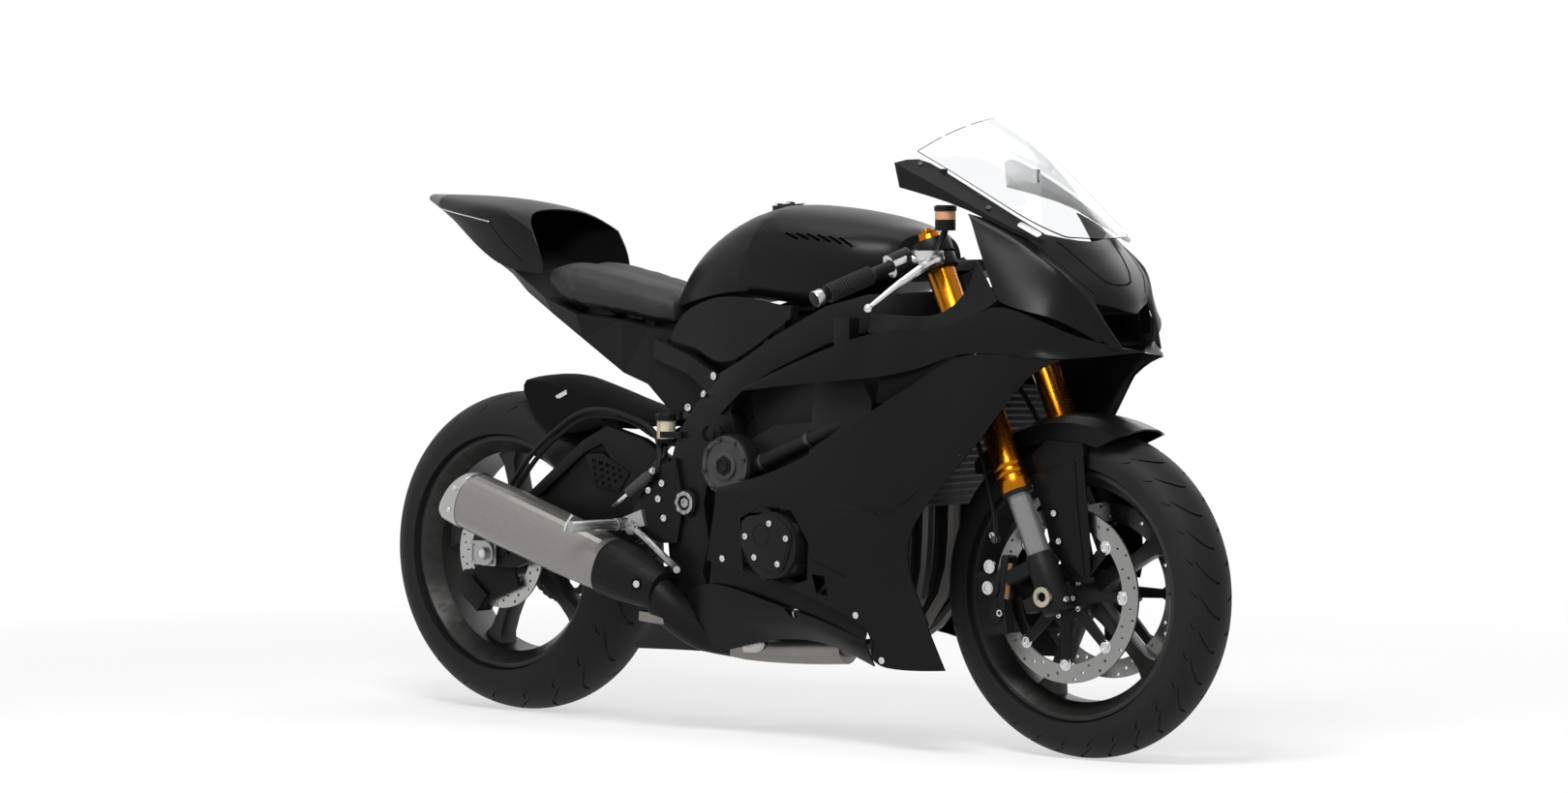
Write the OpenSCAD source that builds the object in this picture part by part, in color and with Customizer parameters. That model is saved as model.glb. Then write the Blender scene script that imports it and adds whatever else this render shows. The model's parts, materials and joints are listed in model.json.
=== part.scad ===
// Track sport bike, full size, in millimetres.
// Design axes: x forward from the rear axle, y to the left, z up from the ground.
// Every node is moved at the end so that the rider's place on the seat is the origin.

/* [Tyres and rims] */
// Outer radius of the front tyre
front_tyre_r = 300; // [290:1:310]
// Width of the front tyre
front_tyre_w = 120; // [110:1:125]
// Outer radius of the rear tyre
rear_tyre_r = 315; // [305:1:325]
// Width of the rear tyre
rear_tyre_w = 180; // [170:1:186]
// Bead seat radius of both rims
rim_seat_r = 216; // [210:0.5:222]
// Inside width of the front rim
front_rim_w = 89; // [80:1:95]
// Inside width of the rear rim
rear_rim_w = 140; // [130:1:146]
// Spokes of each wheel
spokes = 5; // [4:1:7]
// Width of a spoke at the hub
spoke_w = 34; // [24:1:44]
// Turn of the first spoke above level
spoke_turn = 30; // [0:1:72]

/* [Brakes] */
// Radius of the front discs
front_disc_r = 160; // [150:1:165]
// Radius of the rear disc
rear_disc_r = 110; // [100:1:118]
// Thickness of the discs
disc_t = 4.5; // [4:0.1:5.5]
// Distance of each front disc from the middle
front_disc_y = 66; // [64:0.5:68]

/* [Axles and drive] */
// Radius of the front axle
front_axle_r = 12.5; // [11:0.5:14]
// Radius of the hole through the front axle
front_axle_bore_r = 8.5; // [6:0.5:9.5]
// Radius of the rear axle
rear_axle_r = 12.5; // [11:0.5:14]
// Radius of the hole through the rear axle
rear_axle_bore_r = 8; // [6:0.5:9.5]
// Radial running clearance of the wheels and the stem
running = 0.05; // [0.02:0.01:0.1]
// Pitch circle radius of the rear sprocket
sprocket_r = 108; // [100:1:112]

/* [Fork and bars] */
// Distance of each fork leg from the middle
fork_y = 105; // [100:0.5:110]
// Radius of the fork's inner tube
inner_tube_r = 21.5; // [19:0.5:23]
// Radius of the fork's outer tube
outer_tube_r = 27; // [25:0.5:30]
// Radius of the grips
grip_r = 17; // [15:0.5:19]
// Length of the grips
grip_len = 118; // [100:1:125]
// Radius of the bars
bar_r = 11; // [10:0.5:12.5]

/* [Bodywork] */
// Wall of the fairing panels
panel_t = 3; // [2:0.5:4]
// Wall of the screen
screen_t = 3; // [2:0.5:4]
// Wall of the mudguards
guard_t = 3; // [2:0.5:4]
// Vent slits on each flank of the airbox cover
vents = 6; // [4:1:8]
// Radius of the filler cap
cap_r = 34; // [28:1:40]

/* [Exhaust] */
// Radius of a header pipe
header_r = 18; // [15:1:20]
// Half height of the silencer
can_half = 57; // [50:1:62]
// Length of the silencer's end cap
can_cap_len = 46; // [30:1:60]

/* [Controls] */
// Radius of the footpegs
peg_r = 11; // [9:0.5:13]
// Length of the footpegs
peg_len = 92; // [75:1:100]
// Radius of the paddock stand threads
spool_r = 3; // [3:0.5:4]

/* [Hidden] */
$fn = 48;
wheelbase = 1375;
front_axle = [wheelbase, 0, 300];
rear_axle = [0, 0, 315];
rake = 24;
fork_offset = 33.5;
pivot = [546, 0, 437];
pivot_r = 13.8;
head_r = 36;
seat_point = [300, 0, 862];
rim_lip_r = rim_seat_r + 13;
front_lip = front_rim_w / 2 + 8;
rear_lip = rear_rim_w / 2 + 9;
seat_gap = 0.3;
fork_half = 134;
arm_half = 135;
plate_out = arm_half + 15;

// Helpers: numbers and curves
function lerp(a, b, t) = a + (b - a) * t;
function unit(v) = v / max(1e-9, norm(v));
function flip(p) = [p[0], -p[1], p[2]];
function flips(r) = [for (p = r) flip(p)];
function back(l) = [for (i = [len(l) - 1:-1:0]) l[i]];
function rail_at(pts, t) =
    let (n = len(pts) - 1, s = min(max(t, 0) * n, n - 1e-6), i = floor(s), f = s - i,
        p0 = pts[max(0, i - 1)], p1 = pts[i], p2 = pts[i + 1], p3 = pts[min(n, i + 2)])
    0.5 * (2 * p1 + (p2 - p0) * f + (2 * p0 - 5 * p1 + 4 * p2 - p3) * f * f
        + (3 * p1 - p0 - 3 * p2 + p3) * f * f * f);
function rail(pts, n) = [for (i = [0:n]) rail_at(pts, i / n)];
// Rails on the right, the middle one, and their mirror images on the left
function spread(rails, middle) = concat(rails, [middle], back([for (r = rails) flips(r)]));
function grid_of(rails, along, between) =
    let (m = (len(rails) - 1) * between)
    [for (i = [0:along]) let (k = [for (r = rails) rail_at(r, i / along)]) rail(k, m)];
function grid_normal(g, i, j) =
    let (n = len(g) - 1, m = len(g[0]) - 1)
    unit(cross(g[min(n, i + 1)][j] - g[max(0, i - 1)][j], g[i][min(m, j + 1)] - g[i][max(0, j - 1)]));

// The piece of a grid from row i0 to i1 and column j0 to j1
function part_of(g, i0, i1, j0, j1) = [for (i = [i0:i1]) [for (j = [j0:j1]) g[i][j]]];

// Helpers: solids from points
module solid_of(points, faces) {
    vols = [for (f = faces, k = [1:len(f) - 2])
        points[f[0]] * cross(points[f[k]], points[f[k + 1]])];
    total = vols * [for (v = vols) 1];
    polyhedron(points, total > 0 ? [for (f = faces) back(f)] : faces, convexity = 6);
}
// A panel of even wall behind the grid's outer face
module sheet(g, wall, side = 1) {
    n = len(g) - 1;
    m = len(g[0]) - 1;
    w = m + 1;
    k = (n + 1) * w;
    outer = [for (r = g) each r];
    inner = [for (i = [0:n], j = [0:m]) g[i][j] - side * wall * grid_normal(g, i, j)];
    skin = [for (i = [0:n - 1], j = [0:m - 1]) let (a = i * w + j)
        each [[a, a + 1, a + w], [a + 1, a + w + 1, a + w],
            [k + a, k + a + w, k + a + 1], [k + a + 1, k + a + w, k + a + w + 1]]];
    ends = [for (j = [0:m - 1]) let (b = n * w + j)
        each [[j, k + j, j + 1], [j + 1, k + j, k + j + 1],
            [b, b + 1, k + b], [b + 1, k + b + 1, k + b]]];
    sides = [for (i = [0:n - 1]) let (a = i * w, b = i * w + m)
        each [[a, a + w, k + a], [a + w, k + a + w, k + a],
            [b, k + b, b + w], [b + w, k + b, k + b + w]]];
    solid_of(concat(outer, inner), concat(skin, ends, sides));
}
// What a bracket has to leave free: the panel with its seat gap, and the space outside it
module panel_room(g, wall, outside = 8) {
    sheet(g, wall + seat_gap);
    sheet(g, -outside);
}
module bar_y(x, z, w, y0, y1) { translate([x - w / 2, y0, z - w / 2]) cube([w, y1 - y0, w]); }
// A closed solid through rings of equally many points
module loft(rings) {
    n = len(rings) - 1;
    m = len(rings[0]);
    walls = [for (i = [0:n - 1], j = [0:m - 1]) let (a = i * m + j, b = i * m + (j + 1) % m)
        each [[a, b, a + m], [b, b + m, a + m]]];
    caps = [[for (j = [m - 1:-1:0]) j], [for (j = [0:m - 1]) n * m + j]];
    solid_of([for (r = rings) each r], concat(walls, caps));
}
// A round bar along a smooth path, with a radius at each end
module pipe(path, r0, r1, sides, steps, ref = [0, 1, 0]) {
    p = rail(path, steps);
    loft([for (i = [0:steps])
        let (t = unit(p[min(steps, i + 1)] - p[max(0, i - 1)]), a = unit(cross(t, ref)), b = cross(t, a),
            r = lerp(r0, r1, i / steps))
        [for (k = [0:sides - 1]) p[i] + r * (cos(360 * k / sides) * a + sin(360 * k / sides) * b)]]);
}
// A ring across the bike at x, through the right half's outline from bottom to top
function ring_at(x, half, n) =
    let (h = rail(half, n))
    concat([for (p = h) [x, -p[0], p[1]]], [for (i = [n - 1:-1:1]) [x, h[i][0], h[i][1]]]);

// Helpers: places
module both() { children(); mirror([0, 1, 0]) children(); }
module across(y0, y1) { translate([0, y1, 0]) rotate([90, 0, 0]) linear_extrude(y1 - y0) children(); }
module rod(p, y0, y1, r) { translate([p[0], y0, p[2]]) rotate([-90, 0, 0]) cylinder(r = r, h = y1 - y0); }
module rod12(p, y0, y1, r) {
    translate([p[0], y0, p[2]]) rotate([-90, 0, 0]) cylinder(r = r, h = y1 - y0, $fn = 12);
}
module at_fork() { translate(front_axle) rotate([0, -rake, 0]) children(); }
module turned(p) { translate(p) rotate([90, 0, 0]) rotate_extrude($fn = 96) children(); }
module placed() { translate(-seat_point) children(); }

// Wheels
module tyre_section(r, w, bead) {
    steps = 14;
    arc = [for (i = [0:steps]) let (a = lerp(-100, 100, i / steps))
        [lerp(rim_lip_r + 14, r, pow(max(0, cos(a)), 0.84)) - (abs(a) > 90 ? 10 : 0), w / 2 * sin(a)]];
    polygon(concat([[rim_seat_r + 0.2, -bead], [rim_lip_r + 1, -bead]], arc,
        [[rim_lip_r + 1, bead], [rim_seat_r + 0.2, bead]]));
}
module rim_section(lip, bead) {
    polygon([[rim_lip_r, -lip], [rim_lip_r, -bead], [rim_seat_r, -bead], [rim_seat_r, -bead + 14],
        [rim_seat_r - 12, -bead + 24], [rim_seat_r - 12, bead - 24], [rim_seat_r, bead - 14],
        [rim_seat_r, bead], [rim_lip_r, bead], [rim_lip_r, lip], [rim_lip_r - 9, lip],
        [rim_seat_r - 8, bead - 10], [rim_seat_r - 19, bead - 24], [rim_seat_r - 19, -bead + 24],
        [rim_seat_r - 8, -bead + 10], [rim_lip_r - 9, -lip]]);
}
// A spoke: wide at the hub, slim in the middle, with a flared foot at the rim
function spoke_half(hub_r) = [[hub_r - 6, spoke_w / 2], [hub_r + 26, spoke_w / 2 - 4],
    [rim_seat_r - 72, spoke_w / 2 - 6],
    [rim_seat_r - 40, spoke_w / 2 - 3], [rim_seat_r - 15, spoke_w / 2 + 9]];
function spoke_outline(hub_r) = concat(spoke_half(hub_r), back([for (q = spoke_half(hub_r)) [q[0], -q[1]]]));
module wheel(p, lip, bead, hub_r, hub_0, hub_1, bore_r, face) {
    difference() {
        union() {
            turned(p) rim_section(lip, bead);
            rod(p, hub_0, hub_1, hub_r);
            for (k = [0:spokes - 1]) translate(p) rotate([0, 360 / spokes * k - spoke_turn, 0])
                across(-face, face) polygon(spoke_outline(hub_r));
        }
        rod(p, hub_0 - 1, hub_1 + 1, bore_r);
    }
}
module front_tyre() color("black") turned(front_axle)
    tyre_section(front_tyre_r, front_tyre_w, front_rim_w / 2 - 0.3);
module front_rim() color("dimgray") wheel(front_axle, front_lip, front_rim_w / 2, 40, -front_disc_y + 10,
    front_disc_y - 10, front_axle_r + running, 16);
module disc_ring(p, y, r, inner, holes) {
    difference() {
        rod(p, y - disc_t / 2, y + disc_t / 2, r);
        rod(p, y - disc_t, y + disc_t, inner);
        for (k = [0:holes - 1], row = [0:2]) translate(p) rotate([0, 360 / holes * (k + row / 3), 0])
            translate([lerp(inner + 9, r - 7, row / 2), y, 0]) rotate([90, 0, 0])
                cylinder(r = 3, h = 4 * disc_t, center = true, $fn = 16);
    }
}
module front_discs() color("silver") both()
    disc_ring(front_axle, -front_disc_y, front_disc_r, front_disc_r - 34, 16);
module front_disc_carriers() color("#202020") both() {
    y = -front_disc_y;
    difference() {
        union() {
            rod(front_axle, y - 4, y + 9.9, 48);
            for (k = [0:7]) translate(front_axle) rotate([0, 45 * k, 0])
                across(y - 4, y + 4) polygon([[40, -11], [front_disc_r - 34.6, -8],
                    [front_disc_r - 34.6, 8], [40, 11]]);
        }
        rod(front_axle, y - 20, y + 20, 30);
    }
}
module rear_tyre() color("black") turned(rear_axle)
    tyre_section(rear_tyre_r, rear_tyre_w, rear_rim_w / 2 - 0.3);
module rear_rim() color("dimgray") wheel(rear_axle, rear_lip, rear_rim_w / 2, 52, -80, 92,
    rear_axle_r + running, 22);
module rear_disc() color("silver") {
    difference() {
        union() {
            disc_ring(rear_axle, -83, rear_disc_r, rear_disc_r - 32, 14);
            for (k = [0:4]) translate(rear_axle) rotate([0, 72 * k, 0])
                across(-83 - disc_t / 2, -83 + disc_t / 2)
                    translate([34, -11]) square([rear_disc_r - 62, 22]);
            rod(rear_axle, -83 - disc_t / 2, -80, 44);
        }
        rod(rear_axle, -100, 0, 30);
    }
}
module rear_sprocket() color("#303030") difference() {
    union() {
        rod(rear_axle, 92, 108, 40);
        rod(rear_axle, 106, 112, sprocket_r - 8.9);
    }
    rod(rear_axle, 80, 120, 30);
    for (k = [0:4]) translate(rear_axle) rotate([0, 72 * k, 0]) translate([68, 0, 0])
        rod([0, 0, 0], 90, 120, 17);
}

// Steered parts
module front_axle_shaft() color("silver") difference() {
    union() {
        rod(front_axle, -fork_half, fork_half, front_axle_r);
        rod(front_axle, -fork_half - 6, -fork_half, front_axle_r + 6);
        both() rod(front_axle, front_disc_y - 9.9, fork_y - 28.1, front_axle_r + 6);
    }
    rod(front_axle, -fork_half - 20, fork_half + 20, front_axle_bore_r);
}
module fork_bottoms() color("#181818") both() difference() {
    at_fork() {
        translate([0, -fork_y, -30]) cylinder(r = 28, h = 96);
        translate([0, -fork_y, 66]) cylinder(r = inner_tube_r + 5, h = 14);
        translate([-58, -fork_y - 16, -12]) cube([50, 34, 26]);
        translate([-78, -fork_y - 16, 96 - 44]) cube([66, 32, 24]);
    }
    at_fork() translate([0, -fork_y, 24]) cylinder(r = inner_tube_r, h = 200);
    rod(front_axle, -200, 0, front_axle_r + 0.1);
}
module fork_inner_tubes() color("silver") both() at_fork() translate([0, -fork_y, 24])
    cylinder(r = inner_tube_r, h = 210);
module fork_outer_tubes() color("goldenrod") both() at_fork() difference() {
    union() {
        translate([0, -fork_y, 206]) cylinder(r = outer_tube_r, h = 488);
        translate([0, -fork_y, 202]) cylinder(r = outer_tube_r + 3, h = 22);
        translate([0, -fork_y, 694]) cylinder(r = outer_tube_r - 6, h = 10);
    }
    translate([0, -fork_y, 200]) cylinder(r = inner_tube_r, h = 34);
}
module clamp_plan(reach) {
    polygon([[-fork_offset - 34, -42], [-fork_offset - 34, 42], [-outer_tube_r - 2, fork_y + 20],
        [outer_tube_r - 6, fork_y + 34], [outer_tube_r + 8, fork_y], [reach, 60], [reach, -60],
        [outer_tube_r + 8, -fork_y], [outer_tube_r - 6, -fork_y - 34], [-outer_tube_r - 2, -fork_y - 20]]);
}
module lower_clamp() color("#222222") at_fork() difference() {
    union() {
        translate([0, 0, 452]) linear_extrude(36) clamp_plan(-4);
        translate([-fork_offset, 0, 452]) cylinder(r = 15, h = 204);
        for (s = [-1, 1]) translate([0, s * fork_y, 452]) cylinder(r = outer_tube_r + 9, h = 36);
    }
    for (s = [-1, 1]) translate([0, s * fork_y, 400]) cylinder(r = outer_tube_r, h = 300);
    translate([-fork_offset, 0, 440]) cylinder(r = 7.5, h = 90);
}
module upper_clamp() color("#2a2a2a") at_fork() difference() {
    union() {
        translate([0, 0, 638]) linear_extrude(22) clamp_plan(-8);
        for (s = [-1, 1]) translate([0, s * fork_y, 638]) cylinder(r = outer_tube_r + 8, h = 22);
        translate([-fork_offset, 0, 656.2]) cylinder(r = 18, h = 12, $fn = 6);
    }
    for (s = [-1, 1]) translate([0, s * fork_y, 600]) cylinder(r = outer_tube_r, h = 100);
    translate([-fork_offset, 0, 600]) cylinder(r = 15, h = 56.1);
}
// The bar's own axes: origin at the fork clamp, z out along the right bar
bar_root = front_axle + [-277, -105, 622];
bar_end = front_axle + [-357, -326, 536];
module at_bar() {
    d = bar_end - bar_root;
    translate(bar_root) rotate([0, acos(d[2] / norm(d)), atan2(d[1], d[0])]) children();
}
bar_len = norm(bar_end - bar_root);
module handlebars() color("#1c1c1c") both() difference() {
    union() {
        at_fork() translate([0, -fork_y, 665]) cylinder(r = outer_tube_r + 9, h = 27);
        at_bar() translate([0, 0, 20]) cylinder(r = bar_r, h = bar_len - 20);
        at_bar() translate([0, 0, bar_len - 4]) cylinder(r = grip_r - 3, h = 22);
    }
    at_fork() translate([0, -fork_y, 500]) cylinder(r = outer_tube_r + 0.1, h = 300);
}
module grips() color("#151515") both() at_bar() difference() {
    union() {
        translate([0, 0, bar_len - 4.1 - grip_len]) cylinder(r = grip_r, h = grip_len);
        translate([0, 0, bar_len - 4.1 - grip_len]) cylinder(r = grip_r + 7, h = 7);
    }
    translate([0, 0, -1]) cylinder(r = bar_r + 0.1, h = bar_len * 2);
}
lever_path = [for (q = [[-225, -156, 600], [-219, -188, 595], [-220, -225, 580], [-229, -270, 555],
    [-239, -308, 530],
    [-244, -332, 516]]) front_axle + q];
lever_tip = lever_path[len(lever_path) - 1];
module lever() {
    pipe(lever_path, 10, 5, 8, 12, [0, 0, 1]);
    loft([for (a = [-80:32:80]) [for (k = [0:7]) lever_tip
        + 9 * [cos(a) * cos(45 * k), sin(a), cos(a) * sin(45 * k)]]]);
}
// Perch on the bar, with the lever's block in front of it
module perch() difference() {
    union() {
        at_bar() translate([0, 0, 54]) cylinder(r = 22, h = 44, $fn = 12);
        translate(front_axle + [-267, -164, 606]) rotate([0, -10, -6]) cube([72, 26, 20], center = true);
        translate(front_axle + [-239, -168, 606]) rotate([0, 0, 62]) cube([50, 30, 24], center = true);
    }
    at_bar() cylinder(r = bar_r + 0.1, h = 300);
    at_bar() translate([0, 0, bar_len - 4.5 - grip_len]) cylinder(r = 40, h = 60);
}
module brake_control() color("#8c8c8c") {
    lever();
    perch();
    translate(front_axle + [-225, -134, 654]) cylinder(r = 19, h = 44, $fn = 12);
    translate(front_axle + [-237, -146, 610]) rotate([-16, 14, 0]) cylinder(r = 6, h = 48, $fn = 12);
}
module clutch_control() color("#8c8c8c") mirror([0, 1, 0]) {
    lever();
    perch();
}
module front_calipers() color("#161616") both() difference() {
    translate(front_axle) rotate([0, -188, 0]) translate([138, 0, 0]) {
        translate([-29, -front_disc_y - 44, -58]) cube([58, 44 + 26, 116]);
        translate([-8, -front_disc_y - 46, -26]) rotate([90, 0, 0]) cylinder(r = 15, h = 6, center = true);
        translate([-8, -front_disc_y - 46, 22]) rotate([90, 0, 0]) cylinder(r = 15, h = 6, center = true);
    }
    rod(front_axle, -front_disc_y - disc_t / 2 - 2, -front_disc_y + disc_t / 2 + 2, front_disc_r + 6);
    rod(front_axle, -front_disc_y - 20, -front_disc_y + 60, front_disc_r - 38);
    at_fork() translate([0, -fork_y, -60]) cylinder(r = 28.2, h = 300);
    at_fork() translate([-58.2, -fork_y - 16.2, -12.2]) cube([50.4, 34.4, 26.4]);
    at_fork() translate([-78.2, -fork_y - 16.2, 96 - 44.2]) cube([66.4, 32.4, 24.4]);
}
guard_cut = [[-375, -400], [-375, 400], [-225, 400], [-203, 210], [-135, 212], [-45, 224], [45, 256],
    [125, 290], [137, 340], [425, 340], [425, -400]];
guard_blade = [[-69, 248], [-35, 278], [45, 274], [55, 170], [67, 60], [57, 25], [27, 25], [15, 52],
    [-17, 122], [-47, 196]];
guard_half = 73;
blade_y = guard_half + 8;
module front_mudguard() color("#141414") {
    r = front_tyre_r + 22;
    difference() {
        turned(front_axle) polygon([[r - 46, -guard_half], [r - 12, -guard_half + 1], [r, -42],
            [r + 4, 0], [r, 42],
            [r - 12, guard_half - 1], [r - 46, guard_half], [r - 46, guard_half - guard_t],
            [r - 14, guard_half - 1 - guard_t], [r - guard_t, 40], [r + 4 - guard_t, 0], [r - guard_t, -40],
            [r - 14, -guard_half + 1 + guard_t], [r - 46, -guard_half + guard_t]]);
        translate(front_axle) across(-200, 200) polygon(guard_cut);
    }
    both() translate(front_axle) {
        across(-blade_y, -blade_y + guard_t) polygon(guard_blade);
        across(-blade_y, -guard_half + guard_t) polygon([[-63, 250], [-35, 278], [45, 274], [49, 252]]);
        bar_y(-115, 258, 12, -fork_y + outer_tube_r + seat_gap, -guard_half + guard_t);
    }
}
module brake_hoses() color("#101010") both() {
    pipe([for (q = [[-227, -64, 386], [-211, -84, 350], [-183, -100, 290], [-155, -106, 220],
        [-135, -108, 150], [-129, -106, 96]])
        front_axle + q], 4.5, 4.5, 8, 14);
    at_fork() translate([-53, -72, 439]) cube([16, 16, 13 - seat_gap]);
}

// Frame and engine
module steering_head() color("#242424") at_fork() difference() {
    translate([-fork_offset, 0, 494]) cylinder(r = head_r, h = 138);
    translate([-fork_offset, 0, 400]) cylinder(r = 15 + running, h = 300);
}
spar_table = [
    // x, low z, high z, outer y, inner y
    [632, 606, 684, 160, 126], [700, 660, 716, 163, 128], [771, 694, 757, 165, 130],
        [890, 742, 813, 162, 126],
    [980, 768, 836, 146, 108], [1040, 762, 839, 102, 58], [1066, 750, 842, 63, 36],
    [1098, 756, 842, 42, 8]];
module frame_side() difference() {
    union() {
        loft([for (s = spar_table) [[s[0], -s[3], s[1]], [s[0], -s[3], s[2]], [s[0], -s[4], s[2]],
            [s[0], -s[4], s[1]]]]);
        across(-plate_out, -plate_out + 27) polygon([[632, 684], [564, 623], [523, 572], [499, 507],
            [495, 359], [503, 286], [539, 247],
            [595, 272], [582, 308], [597, 364], [584, 437], [608, 529], [665, 568], [650, 615], [690, 660]]);
        // Hanger of the engine, seat of the tank and boss of the side cover
        translate([925, -178, 750]) cube([36, 30, 44]);
        translate([925, -178, 694]) cube([36, 178 - 165 - 0.2, 60]);
        translate([784, -150, 740]) cube([18, 18, 70]);
        translate([784, -150, 801]) cube([18, 66, 12.5]);
        translate([742, -163.2, 726]) cube([12, 14, 40]);
    }
    rod(pivot, -200, 200, pivot_r + seat_gap);
    at_fork() translate([-fork_offset, 0, 300])
        cylinder(r = (head_r + seat_gap) / cos(15), h = 500, $fn = 12);
}
module pivot_shaft() color("silver") {
    rod(pivot, -plate_out, plate_out, pivot_r);
    both() rod(pivot, -plate_out - 8.2, -plate_out, 25);
}
module frame_right() color("#1e1e1e") frame_side();
module frame_left() color("#1e1e1e") mirror([0, 1, 0]) frame_side();
head_profile = [[850, 500], [872, 710], [952, 722], [1004, 640], [985, 480], [930, 420]];
module engine() color("#2c2c2c") {
    across(-118, 96) polygon([[604, 300], [600, 470], [640, 545], [700, 560], [700, 220], [640, 225]]);
    across(-150, 150) polygon([[699, 220], [699, 560], [760, 590], [880, 600], [930, 470], [985, 420],
        [985, 290], [930, 225]]);
    across(-165, 165) polygon(head_profile);
    across(-112, 112) polygon([[690, 540], [668, 640], [700, 786], [930, 804], [960, 715], [868, 560]]);
    rod(front_sprocket, 90, 113, 20);
    rod(front_sprocket, 104, 112, front_sprocket_r - 9.6);
    across(-40, 90) polygon([[620, 158], [610, 226], [760, 226], [770, 158]]);
}
crank = [820, 0, 373];
clutch = [668, 0, 513];
module engine_covers() color("#191919") both() {
    rod(crank, -236, -150, 62);
    for (k = [0:4]) translate(crank) rotate([0, 72 * k + 40, 0])
        translate([60, 0, 0]) rod([0, 0, 0], -228, -200, 11);
    difference() {
        rod(clutch, -182, -150.2, 58);
        rod(clutch, -190, -178, 40);
    }
}
rad_low = [[1144, -182, 452], [1102, -120, 450], [1076, 0, 448], [1102, 120, 450], [1144, 182, 452]];
rad_high = [[1153, -182, 664], [1117, -112, 668], [1105, 0, 670], [1117, 112, 668], [1153, 182, 664]];
module radiator() color("#3a3a3a") {
    rows = 36;
    // Every other row stands proud, as the tubes between the fins
    g = [for (k = [0:rows]) [for (i = [0:8])
        let (p = lerp(rail_at(rad_low, i / 8), rail_at(rad_high, i / 8), k / rows))
        p + (k % 2 == 0 ? [0, 0, 0] : [3, 0, -1.5])]];
    sheet(g, 24, -1);
    both() translate([1000.8, -79, 594]) cube([84, 14, 14]);
}
joint_x = 884;
module exhaust_headers() color("#4a4038") difference() {
    for (y = [-105, -38, 38, 105]) {
        across(y - 25, y + 25) polygon([[999.9, 602], [1009.8, 600.8], [1005, 560.8], [995.1, 562]]);
        pipe([[1006, y, 590], [1022, y, 562], [1030, y, 480], [1028, y, 380], [1012, y * 0.9, 285],
            [968, y * 0.5 - 20, 202],
        [930, y * 0.25 - 60, 180], [872, y * 0.12 - 84, 176]], header_r, header_r - 3, 10, 12);
    }
    translate([joint_x - 200 + seat_gap, -200, 100]) cube([200, 400, 200]);
    translate([seat_gap, 0, 0]) across(-165, 165) polygon(head_profile);
}
silencer_path = [[896, -84, 176], [800, -90, 170], [700, -94, 168], [630, -112, 174], [575, -152, 200],
    [535, -188, 240], [486, -200, 286]];
// The cover's hole runs on a little past the pipe's end
cover_hole_path = [for (i = [0:6]) silencer_path[i] + (i == 6 ? [-6, 0, 5] : [0, 0, 0])];
module silencer_pipe() color("#5a5048") difference() {
    pipe(silencer_path, 29, 27, 14, 16);
    translate([joint_x, -200, 100]) cube([200, 400, 200]);
}

// Silencer: rings square to its axis, each with a centre, a half height and a half width
can_dir = unit([-410, 0, 126]);
can_up = [can_dir[2], 0, -can_dir[0]];
function can_ring(p, h, w) = [for (k = [0:27]) let (a = 360 * k / 28, c = cos(a), s = sin(a))
    p + can_up * (h * sign(s) * pow(abs(s), 0.86)) + [0, w * sign(c) * pow(abs(c), 0.86), 0]];
can_front = [396, -200, 312];
can_len = 372;
module silencer_can() color("#b8a890") loft([for (t = [[0, 0.93], [0.3, 0.99], [0.7, 1.01], [1, 0.98]])
    can_ring(can_front + can_dir * can_len * t[0], can_half * t[1], can_half * t[1])]);
module silencer_end_cap() color("#c8c8c8") difference() {
    loft([for (t = [[0.2, 1.02], [can_cap_len - 10, 0.98], [can_cap_len, 0.88]])
        can_ring(can_front + can_dir * (can_len + t[0]), can_half * t[1], can_half * t[1])]);
    loft([for (t = [can_cap_len - 26, can_cap_len + 5])
        can_ring(can_front + can_dir * (can_len + t), can_half * 0.6, can_half * 0.6)]);
}
module silencer_cover() color("#171717") difference() {
    loft([for (t = [[-0.2, 0.97], [-40, 0.94], [-95, 0.8], [-135, 0.64]])
        can_ring(can_front + can_dir * t[0], can_half * t[1], can_half * t[1])]);
    pipe(cover_hole_path, 30.4, 28.4, 14, 16);
}

// Tank, covers and seat
tank_table = [
    // x, top z, half width, shoulder z, bottom z, bottom half width
    [446, 838, 62, 812, 796, 60], [478, 878, 84, 830, 800, 84], [520, 917, 106, 850, 806, 104],
        [570, 950, 126, 868, 814, 120],
    [630, 979, 143, 884, 822, 132], [700, 999, 158, 895, 824, 140], [780, 998, 163, 895, 816, 146],
    [860, 989, 160, 890, 818, 146], [930, 977, 144, 894, 840, 130], [984, 962, 118, 898, 854, 106],
        [1006, 950, 98, 898, 858, 88]];
function tank_half(s) = [[0, s[4]], [s[5] * 0.6, s[4]], [s[5], s[4] + 6], [s[2], s[3]],
    [s[2] * 0.86, lerp(s[3], s[1], 0.62)],
    [s[2] * 0.5, s[1] - 7], [0, s[1]]];
module tank_body() {
    loft([for (i = [0:18]) let (s = rail_at(tank_table, i / 18)) ring_at(s[0], tank_half(s), 11)]);
}
module behind_seam(x) translate([x, 0, 895]) rotate([0, 22, 0])
    translate([-600, -300, -300]) cube([600, 600, 600]);
cap_place = [672, 0, 992];
module fuel_tank() color("#151515") difference() {
    intersection() { tank_body(); behind_seam(688); }
    translate(cap_place + [0, 0, -6.3]) linear_extrude(60)
        polygon([for (k = [0:23]) around(cap_r + 2.4, 15 * k + 7.5)]);
}
module airbox_cover() color("#151515") difference() {
    tank_body();
    behind_seam(688.6);
    both() for (k = [0:vents - 1]) translate([800 + 24 * k, -150 + 2.5 * k, 944 - 2 * k])
        rotate([-52, 26, 0]) cube([34, 40, 4], center = true);
}
module fuel_cap() color("#303030") {
    translate(cap_place + [0, 0, -6]) cylinder(r = cap_r, h = 12);
    translate(cap_place + [0, 0, 6]) cylinder(r = cap_r - 9, h = 3);
}
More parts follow.
